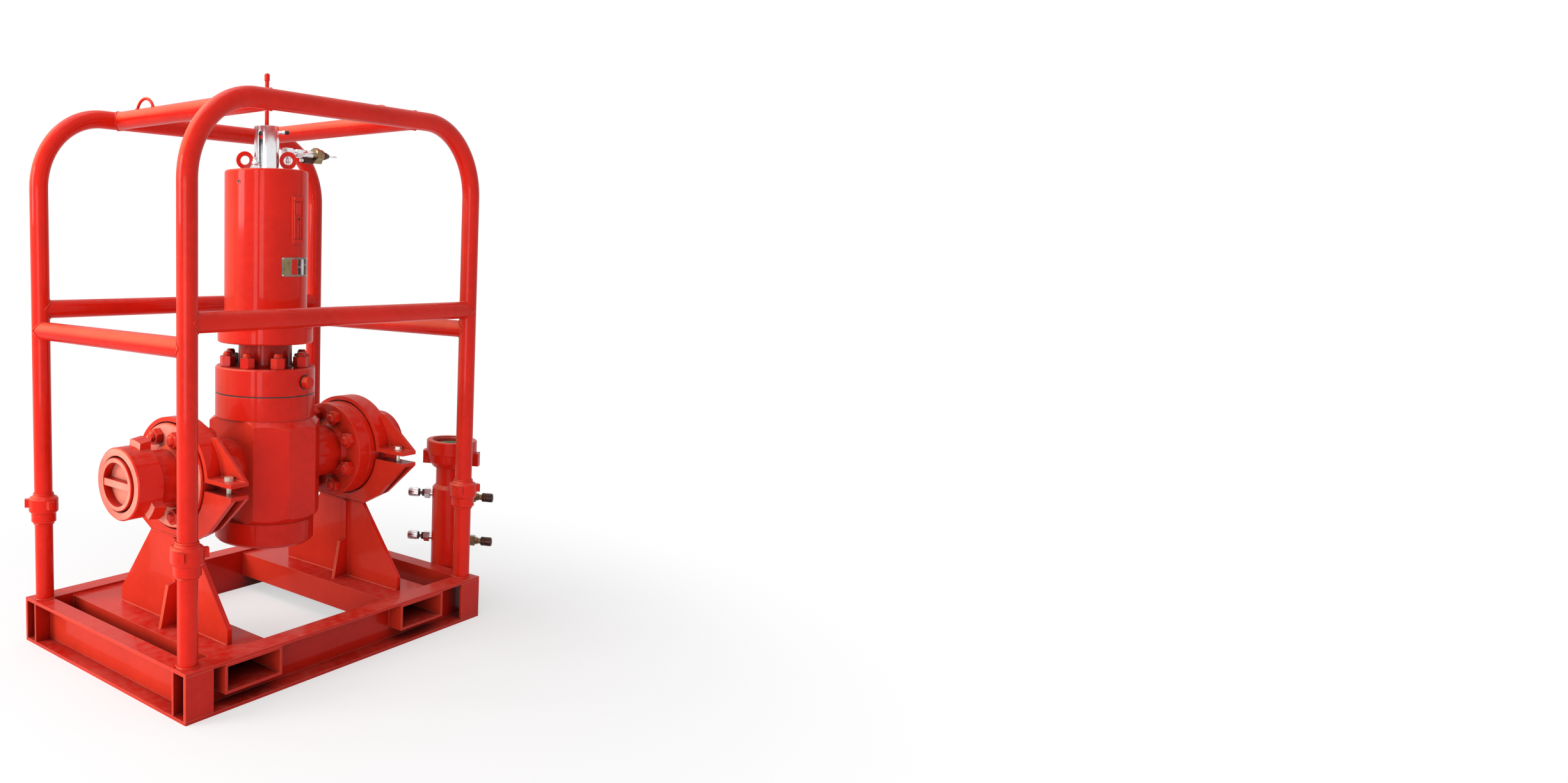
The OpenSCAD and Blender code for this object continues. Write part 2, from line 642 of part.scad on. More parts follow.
module at_spool(z = 0) translate([spool_x, spool_y, z]) children();
module spool() color(paint) at_spool() difference() {
    revolve([
        [0, spool_foot_z], [spool_r, spool_foot_z], [spool_r, spool_shoulder_z],
        [spool_neck_r, spool_shoulder_z + 14], [spool_neck_r, spool_top_z - 22], [0, spool_top_z - 22],
    ]);
    translate([0, 0, spool_top_z - spool_bore_depth]) cylinder(r = spool_bore_r, h = spool_bore_depth + over);
}
module spool_union() color(paint) at_spool() difference() {
    union() {
        revolve([
            [0, spool_union_z], [spool_neck_r + 12, spool_union_z], [spool_union_r - 8, spool_union_z + 22],
            [spool_union_r - 2, spool_union_z + 50], [spool_union_r, spool_union_z + 54],
            [spool_union_r, spool_top_z - 3], [spool_union_r - 3, spool_top_z], [0, spool_top_z],
        ]);
        for (a = [0, 180]) rotate(spool_turn + a) translate([0, -24, spool_union_z + 10]) intersection() {
            cube([spool_lug_r, 48, 48]);
            translate([0, 24, 0]) cylinder(r = spool_lug_r, h = 48);
        }
    }
    translate([0, 0, spool_union_z - over])
        cylinder(r = spool_neck_r + fit, h = spool_top_z - spool_union_z - 21 + over);
    translate([0, 0, spool_top_z - 24]) cylinder(r = spool_neck_r + 16, h = 24 + over);
}
// A turned fitting that points away from the spool's wall
module fitting(z, turn) at_spool(z) rotate([0, 90, spool_turn + turn]) translate([0, 0, spool_r - 2]) {
    cylinder(r = fitting_neck_r, h = fitting_l - 4);
    translate([0, 0, 10]) hex_bar(fitting_af, 22);
    translate([0, 0, 32]) cylinder(r = fitting_neck_r + 3, h = 10);
    translate([0, 0, fitting_l - fitting_body_l]) cylinder(r = fitting_r, h = fitting_body_l);
}
module spool_wall_cut() at_spool(spool_foot_z)
    cylinder(r = spool_r + fit / 2, h = spool_shoulder_z - spool_foot_z);
module fitting_pair(turn) difference() {
    for (z = [fitting_low_z, fitting_high_z]) fitting(z, turn);
    spool_wall_cut();
}
module spool_steel_fittings() color(bright) fitting_pair(180);
module spool_brass_fittings() color(brass) fitting_pair(0);
module bracket_outline() {
    translate([web_x + channel_web, -spool_r - 8]) square([spool_x - web_x - channel_web, 2 * spool_r + 16]);
    translate([spool_x, 0]) circle(r = spool_r + 14);
}
module spool_brackets() color(paint) translate([0, spool_y, 0]) {
    translate([0, 0, channel_flange]) linear_extrude(bracket_t) bracket_outline();
    translate([0, 0, skid_h / 2]) linear_extrude(bracket_t) difference() {
        bracket_outline();
        translate([spool_x, 0]) circle(r = spool_r + fit);
    }
}

place() skid_side(-1);  // skid_side_front
place() skid_side(1);  // skid_side_back
place() skid_end(-1);  // skid_end_left
place() skid_end(1);  // skid_end_right
place() corner_plates();
place() fork_tube(fork_left_x);  // fork_tube_left
place() fork_tube(fork_right_x);  // fork_tube_right
place() post_stubs();
place() post_unions();
place() arch(-1);  // arch_front
place() arch(1);  // arch_back
place() rail_long(-1);  // rail_front
place() rail_long(1);  // rail_back
place() rail_short(-1);  // rail_left
place() rail_short(1);  // rail_right
place() cross_tube(-1);  // cross_tube_left
place() cross_tube(1);  // cross_tube_right
place() lifting_rings();
place() pedestal(-1);  // pedestal_left
place() pedestal(1);  // pedestal_right
place() clamp_half(-1, false);  // clamp_lower_left
place() clamp_half(1, false);  // clamp_lower_right
place() clamp_half(-1, true);  // clamp_upper_left
place() clamp_half(1, true);  // clamp_upper_right
place() clamp_bolts();
place() valve_body();
place() bonnet();
place() bonnet_nuts();
place() bleed_plug();
place() end_flange(-1);  // flange_left
place() end_flange(1);  // flange_right
place() flange_nuts();
place() wing_nut(-1);  // wing_nut_left
place() wing_nut(1);  // wing_nut_right
place() blank_plug(-1);  // blank_plug_left
place() blank_plug(1);  // blank_plug_right
place() actuator_flange();
place() actuator_cylinder();
place() actuator_eyes();
place() indicator_sleeve();
place() indicator_rod();
place() exhaust_fitting();
place() spool();
place() spool_union();
place() spool_steel_fittings();
place() spool_brass_fittings();
place() spool_brackets();
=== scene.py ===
import json
import math
import random

import bmesh
import bpy
from mathutils import Matrix, Vector


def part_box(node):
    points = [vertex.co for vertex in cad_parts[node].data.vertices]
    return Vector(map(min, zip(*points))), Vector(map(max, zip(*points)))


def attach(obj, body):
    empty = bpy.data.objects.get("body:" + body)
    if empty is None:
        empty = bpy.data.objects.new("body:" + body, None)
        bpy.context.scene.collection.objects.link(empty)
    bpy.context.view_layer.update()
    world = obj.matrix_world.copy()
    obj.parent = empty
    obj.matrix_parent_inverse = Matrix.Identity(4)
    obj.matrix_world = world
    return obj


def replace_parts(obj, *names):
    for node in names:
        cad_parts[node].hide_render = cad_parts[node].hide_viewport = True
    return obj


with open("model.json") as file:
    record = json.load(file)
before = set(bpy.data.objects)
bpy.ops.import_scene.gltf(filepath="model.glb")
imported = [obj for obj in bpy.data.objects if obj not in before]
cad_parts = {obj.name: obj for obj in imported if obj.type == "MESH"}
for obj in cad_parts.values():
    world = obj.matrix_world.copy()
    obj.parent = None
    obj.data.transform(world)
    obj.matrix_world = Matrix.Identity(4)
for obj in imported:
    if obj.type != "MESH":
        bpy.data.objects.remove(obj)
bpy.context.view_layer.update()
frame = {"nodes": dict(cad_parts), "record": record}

bl_info = {
    "name": "Safety Valve Skid Looks",
    "version": (1, 0, 0),
    "blender": (4, 5, 0),
    "location": "3D View > Sidebar > Valve Skid",
    "description": "Paint, welds, nuts, fittings and studio for a skid-mounted safety valve",
    "category": "Object",
}

ROOT = "skid"
SLOT_OF = {part["node"]: part["material_slot"] for part in frame["record"]["subparts"]}


def centre(node):
    low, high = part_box(node)
    return (low + high) / 2


# Half the thickness of a support's plate
HALF_PLATE = 0.009

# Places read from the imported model
AXIS = centre("actuator_flange")
AXIS.z = 0
RUN_Z = centre("flange_left").z
TUBE_R = (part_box("rail_front")[1].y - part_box("rail_front")[0].y) / 2
POST_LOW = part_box("post_stubs")[0] + Vector((TUBE_R, TUBE_R, 0))
POST_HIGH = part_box("post_stubs")[1] - Vector((TUBE_R, TUBE_R, 0))
ARCH_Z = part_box("arch_front")[1].z - TUBE_R
DECK_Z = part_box("pedestal_left")[0].z
NUT_LOW, NUT_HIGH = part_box("bonnet_nuts")
SPOOL_LOW, SPOOL_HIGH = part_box("spool")
SPOOL = Vector(((SPOOL_LOW.x + SPOOL_HIGH.x) / 2, (SPOOL_LOW.y + SPOOL_HIGH.y) / 2, 0))
SPOOL_R = (SPOOL_HIGH.x - SPOOL_LOW.x) / 2
SPOOL_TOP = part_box("spool_union")[1].z
ACTUATOR_LOW, ACTUATOR_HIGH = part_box("actuator_cylinder")
ACTUATOR_R = (ACTUATOR_HIGH.x - ACTUATOR_LOW.x) / 2
SUPPORTS = [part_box(name)[0].x + HALF_PLATE for name in ("clamp_upper_left", "clamp_upper_right")]
BAND_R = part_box("clamp_upper_left")[1].z - RUN_Z
EAR_TOP = RUN_Z + 0.018
EAR_FOOT = RUN_Z - 0.034
PAD_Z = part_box("pedestal_left")[1].z

# Directions and measures that several pieces share
# The upper left, where the lamps' light falls most: enamel facing it gets a painted highlight
HIGHLIGHT_SIDE = (-0.80, 0.15, 0.55)
BRIGHT_SIDE = (-0.91, -0.16, 0.38)
SMOOTH_ANGLE = math.radians(35)
STUDS = 8
NUT_ACROSS = 0.046
SEAM_POINTS = 110


def colour(name, description, default):
    """A colour that the user can set"""
    return bpy.props.FloatVectorProperty(
        name=name, description=description, subtype="COLOR", size=3, default=default, min=0, max=1,
    )


def length(name, description, default, low, high):
    return bpy.props.FloatProperty(
        name=name, description=description, unit="LENGTH", default=default, min=low, max=high,
    )


def angle(name, description, degrees):
    return bpy.props.FloatProperty(
        name=name, description=description, unit="ROTATION", default=math.radians(degrees),
    )


def power(name, description, default):
    return bpy.props.FloatProperty(name=name, description=description, unit="POWER", default=default, min=0)


class PaintSettings(bpy.types.PropertyGroup):
    """Colours of the painted and bare finishes, and of the painted shade and highlights on the enamel"""

    enamel: colour("Enamel", "Colour of the red enamel", (0.70, 0.015, 0.006))
    dust: colour("Dust", "Colour of the dust on level surfaces", (0.46, 0.33, 0.26))
    # Painted shade: darkens the enamel in creases and gaps, and low on faces that face along Y
    painted_shade: colour("Shading", "Colour of the grime in creases and hollows", (0.050, 0.004, 0.003))
    # Painted highlight: paler orange on enamel that faces the upper left, where the lamps' light falls
    highlighted: colour("Lamp_Side", "Colour of the enamel on the side that the lamplight has faded", (0.84, 0.24, 0.12))
    # Painted shade: near black deep in the fork pockets and other hollows
    hollow_shade: colour("Deep_Shade", "Colour deep in the fork pockets and other hollows", (0.012, 0.001, 0.001))
    # Paler enamel along the edges: partly rubbing of the paint, partly painted highlight
    edge: colour("Lighter Edge", "Colour of the enamel where its edges are rubbed", (0.66, 0.25, 0.19))
    # Paler pinkish colour on the unions', plugs' and flanges' faces that face along X
    end_tint: colour("Ends_Colour", "Colour of the tinted paint on the unions' machined ends", (0.82, 0.30, 0.22))
    zinc: colour("Zinc", "Colour of the plated bolts", (0.72, 0.70, 0.62))
    steel: colour("Steel", "Colour of the turned steel fittings", (0.60, 0.61, 0.62))
    brass: colour("Dark Brass", "Colour of the tarnished fittings", (0.22, 0.16, 0.09))
    seal: colour("Seal", "Colour of the union's seal", (0.05, 0.30, 0.14))
    # Strength of the paler edges, which are partly rubbing of the paint and partly painted highlight
    wear_and_highlight: bpy.props.FloatProperty(
        name="Edge_Lightening", description="How far the paint is lightened along its edges", subtype="FACTOR",
        default=0.35, min=0, max=1,
    )


class DetailSettings(bpy.types.PropertyGroup):
    """Sizes of the small pieces"""

    weld: length("Weld", "Radius of a weld bead", 0.0035, 0.002, 0.008)
    ripple: length("Weld Ripple", "Length of one ripple of a weld", 0.007, 0.003, 0.02)
    thread_pitch: length("Thread Pitch", "Pitch of the stud threads", 0.0032, 0.001, 0.006)
    nameplate: bpy.props.FloatVectorProperty(
        name="Nameplate", description="Width and height of the blank nameplate", unit="LENGTH", size=2,
        default=(0.130, 0.062), min=0.02, max=0.2,
    )
    rivet: length("Rivet", "Radius of a nameplate rivet's head", 0.0028, 0.001, 0.006)


class StudioSettings(bpy.types.PropertyGroup):
    """Camera, lamps and floor"""

    position: bpy.props.FloatVectorProperty(
        name="Camera Position", description="Where the camera stands", unit="LENGTH", size=3,
        default=(-2.4494, -2.727, 1.330),
    )
    yaw: angle("Yaw", "Turn of the view from +Y towards +X", 44.28)
    pitch: angle("Pitch", "Rise of the view above the horizon", -5.94)
    roll: angle("Roll", "Lean of the camera", 0.70)
    lens: bpy.props.FloatProperty(
        name="Lens", description="Focal length on a 36 mm sensor, in millimetres", default=24.04, min=10, max=200,
    )
    shift: bpy.props.FloatVectorProperty(
        name="Shift", description="Lens shift that frames the object as the photograph does", size=2,
        default=(0.2947, -0.0194),
    )
    floor: colour("Floor", "Colour of the floor", (0.90, 0.90, 0.90))
    key: power("Key Lamp", "Power of the large lamp at the left", 235)
    top: power("Top Lamp", "Power of the lamp overhead", 70)
    front: power("Front Lamp", "Power of the lamp low at the front left", 64)
    fill: bpy.props.FloatProperty(
        name="Fill", description="Strength of the light from all round", default=0.34, min=0, max=2,
    )
    side: bpy.props.FloatProperty(
        name="Side Fill", description="Extra strength of the light from the left and above", default=0.68,
        min=0, max=2,
    )


class Wire:
    """A shader socket that can stand in a sum; each sum adds its Math node"""

    def __init__(self, graph, socket):
        self.graph = graph
        self.socket = socket

    def maths(self, operation, *values):
        node = self.graph.add("ShaderNodeMath", {"operation": operation}, dict(enumerate(values)))
        return Wire(self.graph, node.outputs[0])

    def __add__(self, other):
        return self.maths("ADD", self, other)

    def __radd__(self, other):
        return self.maths("ADD", other, self)

    def __sub__(self, other):
        return self.maths("SUBTRACT", self, other)

    def __rsub__(self, other):
        return self.maths("SUBTRACT", other, self)

    def __mul__(self, other):
        return self.maths("MULTIPLY", self, other)

    def __rmul__(self, other):
        return self.maths("MULTIPLY", other, self)

    def at_most(self, other):
        return self.maths("MINIMUM", self, other)

    def at_least(self, other):
        return self.maths("MAXIMUM", self, other)

    def step(self, low, high):
        """0 below low, 1 above high, and smooth between"""
        node = self.graph.add(
            "ShaderNodeMapRange", {"interpolation_type": "SMOOTHSTEP"},
            {"Value": self, "From Min": low, "From Max": high},
        )
        return Wire(self.graph, node.outputs[0])


class Graph:
    """The node tree of one material or of the world"""

    def __init__(self, owner):
        owner.use_nodes = True
        self.tree = owner.node_tree
        self.tree.nodes.clear()

    def add(self, kind, settings=None, sockets=None):
        """Adds a node, sets it up, then fills or links its inputs"""
        node = self.tree.nodes.new(kind)
        for name, value in (settings or {}).items():
            setattr(node, name, value)
        for name, value in (sockets or {}).items():
            self.fill(node.inputs[name], value)
        return node

    def fill(self, socket, value):
        if isinstance(value, Wire):
            self.tree.links.new(value.socket, socket)
        elif isinstance(value, bpy.types.NodeSocket):
            self.tree.links.new(value, socket)
        elif socket.type == "RGBA":
            socket.default_value = (*value[:3], 1)
        else:
            socket.default_value = value

    def out(self, kind, settings=None, sockets=None, name=0):
        return Wire(self, self.add(kind, settings, sockets).outputs[name])

    def place(self):
        return self.out("ShaderNodeTexCoord", name="Object")

    def noise(self, scale, detail=3.0, roughness=0.5, where=None):
        return self.out(
            "ShaderNodeTexNoise", {}, {
                "Vector": where or self.place(), "Scale": scale, "Detail": detail, "Roughness": roughness,
            },
        )

    def stretched(self, factors):
        """The object's place, stretched by a factor along each axis"""
        return self.out("ShaderNodeVectorMath", {"operation": "MULTIPLY"}, {0: self.place(), 1: factors})

    def blend(self, amount, under, over):
        """One colour over another by an amount"""
        node = self.add("ShaderNodeMix", {"data_type": "RGBA"}, {0: amount, 6: under, 7: over})
        return Wire(self, node.outputs[2])

    def normal(self):
        return self.out("ShaderNodeNewGeometry", name="Normal")

    def dot(self, vector, direction):
        return self.out("ShaderNodeVectorMath", {"operation": "DOT_PRODUCT"}, {0: vector, 1: direction}, "Value")

    def part(self, vector, axis):
        return self.out("ShaderNodeSeparateXYZ", {}, {0: vector}, axis)

    def facing(self, axis):
        """How far the surface faces along an axis, either way"""
        part = self.part(self.normal(), axis)
        return part.maths("ABSOLUTE", part)

    def rounding(self, radius):
        return self.out("ShaderNodeBevel", {"samples": 4}, {"Radius": radius})

    def edges(self, rounded):
        """How near a sharp edge the surface is: 0 on the flat"""
        return (1 - self.dot(rounded, self.normal())) * 4

    def creases(self, reach, samples=6):
        """1 deep in a crease or a gap, 0 in the open"""
        node = self.add("ShaderNodeAmbientOcclusion", {"samples": samples}, {"Distance": reach})
        return (1 - Wire(self, node.outputs["AO"])).at_least(0.0)

    def rays(self, first, *others):
        """1 for these kinds of ray, 0 for the rest"""
        path = self.add("ShaderNodeLightPath")
        total = Wire(self, path.outputs[f"Is {first} Ray"])
        for kind in others:
            total = total + Wire(self, path.outputs[f"Is {kind} Ray"])
        return total.at_most(1.0)

    def bump(self, height, distance, strength=1.0, normal=None):
        sockets = {"Height": height, "Distance": distance, "Strength": strength}
        if normal:
            sockets["Normal"] = normal
        return self.out("ShaderNodeBump", {}, sockets)

    def surface(self, sockets):
        shader = self.add("ShaderNodeBsdfPrincipled", {}, sockets)
        self.add("ShaderNodeOutputMaterial", {}, {"Surface": shader.outputs[0]})


def new_graph(name):
    material = bpy.data.materials.new(name)
    return material, Graph(material)


def enamel(settings, name="red_enamel", wear_and_highlight=1.0, end_tint=0.0):
    """Glossy red enamel with orange peel, dust on top, paler edges that are partly rubbing of the paint and
    partly painted highlight, a painted highlight on faces turned to the upper left, painted shade in creases, in
    hollows and low on faces that face along Y, and, if asked, paler pinkish faces along X in place of the shade
    in hollows
    """
    material, g = new_graph(name)
    rounded = g.rounding(0.0022)
    cloud = g.noise(3.2, 4)
    mottle = g.noise(38, 3)
    grit = g.noise(150, 4, 0.65)
    peel = g.noise(420, 2)
    dusty = g.part(g.normal(), "Z").step(0.55, 0.98) * (mottle * 0.6 + cloud * 0.6).step(0.42, 0.86) * 0.22
    # Paler edges: partly rubbing of the paint, partly painted highlight
    brightened = (g.edges(rounded) * 2.2 + grit * 0.9 + mottle * 0.35 - 0.2 * (1 - settings.wear_and_highlight)).step(1.28, 1.5)
    deep = tuple(c * 0.80 for c in settings.enamel)
    light = (min(settings.enamel[0] * 1.10, 1), settings.enamel[1] * 1.6, settings.enamel[2] * 1.5)
    colour = g.blend(cloud.step(0.30, 0.72), deep, settings.enamel)
    colour = g.blend(mottle.step(0.35, 0.9) * 0.4, colour, light)
    colour = g.blend(dusty, colour, settings.dust)
    # Painted highlight: paler orange on faces turned to the upper left, where the lamps' light falls
    highlighted = g.dot(g.normal(), HIGHLIGHT_SIDE).step(0.70, 1.0) * (0.22 + cloud * 0.34)
    colour = g.blend(highlighted, colour, settings.highlighted)
    # Paler pinkish colour on faces that face along X
    if end_tint:
        ends = g.facing("X").step(0.90, 0.99) * (0.35 + cloud.step(0.30, 0.70) * 0.65) * (0.7 + mottle * 0.5)
        colour = g.blend((ends * end_tint).at_most(1.0), colour, settings.end_tint)
    # Painted shade: darker enamel in creases and gaps, by how hidden each point is
    hidden = g.creases(0.10)
    painted_shade = (hidden.step(0.38, 0.95) * 0.55 + hidden.step(0.74, 0.96) * 0.40) * (0.8 + grit * 0.3)
    colour = g.blend(painted_shade.at_most(1.0), colour, settings.painted_shade)
    # Painted shade: near black deep in hollows such as the fork pockets
    if not end_tint:
        colour = g.blend(g.creases(0.30, 3).step(0.72, 0.92) * 0.92, colour, settings.hollow_shade)
    # Painted shade: darker enamel low down on faces that face along Y
    low_down = 1 - g.part(g.place(), "Z").step(0.145, 0.165)
    low_side_shade = g.facing("Y").step(0.85, 1.0) * low_down * (0.10 + cloud * 0.20)
    colour = g.blend(low_side_shade, colour, settings.painted_shade)
    # Paler edges laid on: partly rubbing of the paint, partly painted highlight
    colour = g.blend((brightened * settings.wear_and_highlight * wear_and_highlight).at_most(1.0), colour, settings.edge)
    g.surface({
        "Base Color": colour,
        "Roughness": 0.30 + cloud * 0.10 + dusty * 0.7 + brightened * 0.15,
        "Specular IOR Level": 0.05,
        "Coat Weight": (0.22 - dusty * 0.5).at_least(0.0),
        "Coat Roughness": 0.07,
        "Normal": g.bump(peel + grit * 0.25, 0.0006, 0.22, rounded),
    })
    return material


def turned_metal(name, colour, roughness, lines=(0, 0, 700), tint=None, tint_amount=0.3):
    """Bright metal with turning marks, stains and soft edges"""
    material, g = new_graph(name)
    rounded = g.rounding(0.0008)
    marks = g.noise(1.0, 2, 0.5, g.stretched(lines))
    stain = g.noise(46, 4, 0.6)
    smear = g.noise(11, 3)
    shade = g.blend(stain.step(0.38, 0.75) * tint_amount, colour, tint or tuple(c * 0.55 for c in colour))
    g.surface({
        "Base Color": shade,
        "Metallic": 1.0,
        "Roughness": roughness + stain * 0.10 + smear * 0.12 + marks * 0.06 - 0.08,
        "Normal": g.bump(marks + stain * 0.3, 0.00025, 0.25, rounded),
    })
    return material


def rubber(name, colour, roughness):
    """Moulded rubber with a fine grain and a grey bloom"""
    material, g = new_graph(name)
    grain = g.noise(900, 2)
    bloom = g.noise(30, 4)
    shade = g.blend(bloom.step(0.45, 0.8) * 0.35, colour, tuple(c * 0.6 + 0.12 for c in colour))
    g.surface({
        "Base Color": shade,
        "Roughness": roughness + bloom * 0.2,
        "Specular IOR Level": 0.3,
        "Normal": g.bump(grain, 0.0003, 0.4),
    })
    return material


def oily_steel(name):
    """Near-black machined steel with an oil film, used also as painted shade in bores, ports and round the bleed
    plug
    """
    material, g = new_graph(name)
    film = g.noise(24, 4)
    marks = g.noise(1.0, 2, 0.5, g.stretched((0, 0, 500)))
    shade = g.blend(film.step(0.35, 0.7), (0.02, 0.019, 0.018), (0.055, 0.045, 0.035))
    g.surface({
        "Base Color": shade,
        "Metallic": 0.6,
        "Roughness": 0.34 + film * 0.22,
        "Normal": g.bump(marks, 0.0003, 0.3),
    })
    return material


def full_turn(steps):
    return [math.tau * j / steps for j in range(steps)]


def polar(angle, radius, z):
    return Vector((radius * math.cos(angle), radius * math.sin(angle), z))


class Shape:
    """Mesh code for one piece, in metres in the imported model's frame"""

    def __init__(self):
        self.points = []
        self.faces = []

    def loft(self, rings, closed=False, caps=(True, True)):
        """Skins equal rings of points one after another"""
        start = len(self.points)
        count = len(rings[0])
        for ring in rings:
            self.points += [tuple(p) for p in ring]
        spans = len(rings) if closed else len(rings) - 1
        for i in range(spans):
            a = start + i * count
            b = start + ((i + 1) % len(rings)) * count
            for j in range(count):
                k = (j + 1) % count
                self.faces.append((a + j, a + k, b + k, b + j))
        if not closed:
            if caps[0]:
                self.faces.append(tuple(start + j for j in reversed(range(count))))
            if caps[1]:
                last = start + (len(rings) - 1) * count
                self.faces.append(tuple(last + j for j in range(count)))

    def turned(self, profile, at=Matrix(), steps=40, caps=(True, True)):
        """A form turned about its own Z from radius and height pairs"""
        angles = full_turn(steps)
        self.loft([[at @ polar(a, r, z) for a in angles] for r, z in profile], caps=caps)

    def hexagon(self, across, height, at=Matrix(), bore=0.0, steps=48, lower=True):
        """A hexagon nut or head with its corners chamfered at the top, and at the bottom if asked"""
        half = across / 2

        def reach(a):
            return half / math.cos((a + math.pi / 6) % (math.pi / 3) - math.pi / 6)

        def fall(a):
            return 0.55 * max(0.0, reach(a) - half)

        rim, hole = half * 0.96, max(bore, 0.0005)
        rows = (
            lambda a: (hole, 0.0), lambda a: (rim, 0.0), lambda a: (reach(a), fall(a) if lower else 0.0),
            lambda a: (reach(a), height - fall(a)), lambda a: (rim, height), lambda a: (hole, height),
        )
        self.loft([[at @ polar(a, *row(a)) for a in full_turn(steps)] for row in rows])

    def ring(self, profile, at=Matrix(), steps=64):
        """A solid ring: a closed profile of radius and height pairs, turned about its own Z"""
        self.loft([[at @ polar(a, r, z) for r, z in profile] for a in full_turn(steps)], closed=True)

    def fluted(self, radius, start, end, flutes, depth, at=Matrix()):
        """A cylinder with grip flutes along its side and rounded rims"""
        steps = flutes * 4
        angles = full_turn(steps)
        rings = []
        for scale, z in (
            (0.02, start), (0.90, start), (1.0, start + 0.10 * (end - start)), (1.0, end - 0.10 * (end - start)),
            (0.90, end), (0.55, end), (0.50, end - 0.0012), (0.02, end - 0.0012),
        ):
            cut = depth if scale == 1.0 else 0.0
            rings.append([
                at @ polar(a, radius * scale - cut * (j % 4 in (1, 2)), z) for j, a in enumerate(angles)
            ])
        self.loft(rings)

    def inner_thread(self, crest, root, start, end, pitch, at=Matrix(), steps=96):
        """The threaded wall inside a bore"""
        count = int((end - start) / pitch)
        profile = [(root, end), (root, start)]
        for i in range(count):
            z = start + i * pitch
            profile += [(crest + (root - crest) * 0.7, z + pitch * 0.12), (crest, z + pitch * 0.38)]
            profile += [(crest, z + pitch * 0.62), (crest + (root - crest) * 0.7, z + pitch * 0.88)]
        self.ring(profile, at, steps)

    def thread(self, radius, start, end, pitch, at=Matrix(), steps=24):
        """A threaded stud end with a chamfered tip"""
        profile = [(radius * 0.92, start)]
        count = max(2, int((end - start - 0.3 * radius) / pitch))
        for i in range(count):
            z = start + i * pitch
            profile += [(radius * 0.92, z + pitch * 0.1), (radius, z + pitch * 0.45), (radius, z + pitch * 0.6)]
        profile += [(radius * 0.92, start + count * pitch), (radius * 0.70, end), (0.0004, end)]
        self.turned(profile, at, steps)

    def bead(self, path, radius, ripple, closed=False, sides=8, seed=1):
        """A rippled weld laid along a path"""
        rng = random.Random(seed)
        count = len(path)
        length = 0.0
        rings = []
        for i, p in enumerate(path):
            before = path[(i - 1) % count] if closed or i else p
            after = path[(i + 1) % count] if closed or i < count - 1 else p
            along = (after - before).normalized()
            side = along.orthogonal().normalized()
            other = along.cross(side)
            if rings:
                length += (p - path[i - 1]).length
            swell = 1 + 0.09 * math.sin(math.tau * length / ripple) + rng.uniform(-0.03, 0.03)
            if not closed and i in (0, count - 1):
                swell *= 0.4
            rings.append([
                p + (side * math.cos(a) + other * math.sin(a)) * radius * swell for a in full_turn(sides)
            ])
        self.align(rings)
        self.loft(rings, closed)

    def align(self, rings):
        """Turns each ring's start point to lie nearest the last ring's"""
        for i in range(1, len(rings)):
            ring = rings[i]
            first = rings[i - 1][0]
            turn = min(range(len(ring)), key=lambda j: (ring[j] - first).length)
            rings[i] = ring[turn:] + ring[:turn]

    def made(self, name, finish, slot):
        """The piece itself, with a material that the finishes operator made, riding on the skid"""
        mesh = bpy.data.meshes.new(name)
        mesh.from_pydata(self.points, [], self.faces)
        mesh.validate()
        skin = bmesh.new()
        skin.from_mesh(mesh)
        bmesh.ops.recalc_face_normals(skin, faces=skin.faces)
        skin.to_mesh(mesh)
        skin.free()
        mesh.shade_smooth()
        mesh.set_sharp_from_angle(angle=SMOOTH_ANGLE)
        mesh.materials.append(bpy.data.materials[finish])
        piece = bpy.data.objects.new(name, mesh)
        bpy.context.scene.collection.objects.link(piece)
        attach(piece, ROOT)
        return piece


def mm(*pairs):
    """A profile given in millimetres"""
    return [(r / 1000, z / 1000) for r, z in pairs]


def line(start, end, step=0.0018):
    start, end = Vector(start), Vector(end)
    count = max(3, int((end - start).length / step))
    return [start.lerp(end, i / count) for i in range(count + 1)]


def polyline(corner_points, step=0.0018):
    """Even points along straight runs from corner to corner"""
    path = []
    for start, end in zip(corner_points, corner_points[1:]):
        path += line(start, end, step)[:-1]
    return path + [Vector(corner_points[-1])]


def circle(middle, radius, axis=Vector((0, 0, 1)), count=90):
    side = axis.orthogonal().normalized()
    other = axis.cross(side)
    return [middle + (side * math.cos(a) + other * math.sin(a)) * radius for a in full_turn(count)]


def around(angle, radius, z):
    """A point round the valve axis"""
    return Vector((AXIS.x, AXIS.y, 0)) + polar(angle, radius, z)


def lift(height):
    return Matrix.Translation((0, 0, height))


def along_z(origin, turn=0.0):
    return Matrix.Translation(origin) @ Matrix.Rotation(turn, 4, "Z")


def along_run(distance, side, turn=0.0, radius=0.0, flip=False):
    """A place on the flow line: its own Z points outwards, or inwards if flipped"""
    outward = Matrix.Rotation(side * math.pi / 2, 4, "Y")
    base = Matrix.Translation(Vector((AXIS.x, AXIS.y, RUN_Z))) @ outward
    place = base @ Matrix.Rotation(turn, 4, "Z") @ Matrix.Translation(Vector((radius, 0, distance)))
    return place @ Matrix.Rotation(math.pi, 4, "X") if flip else place


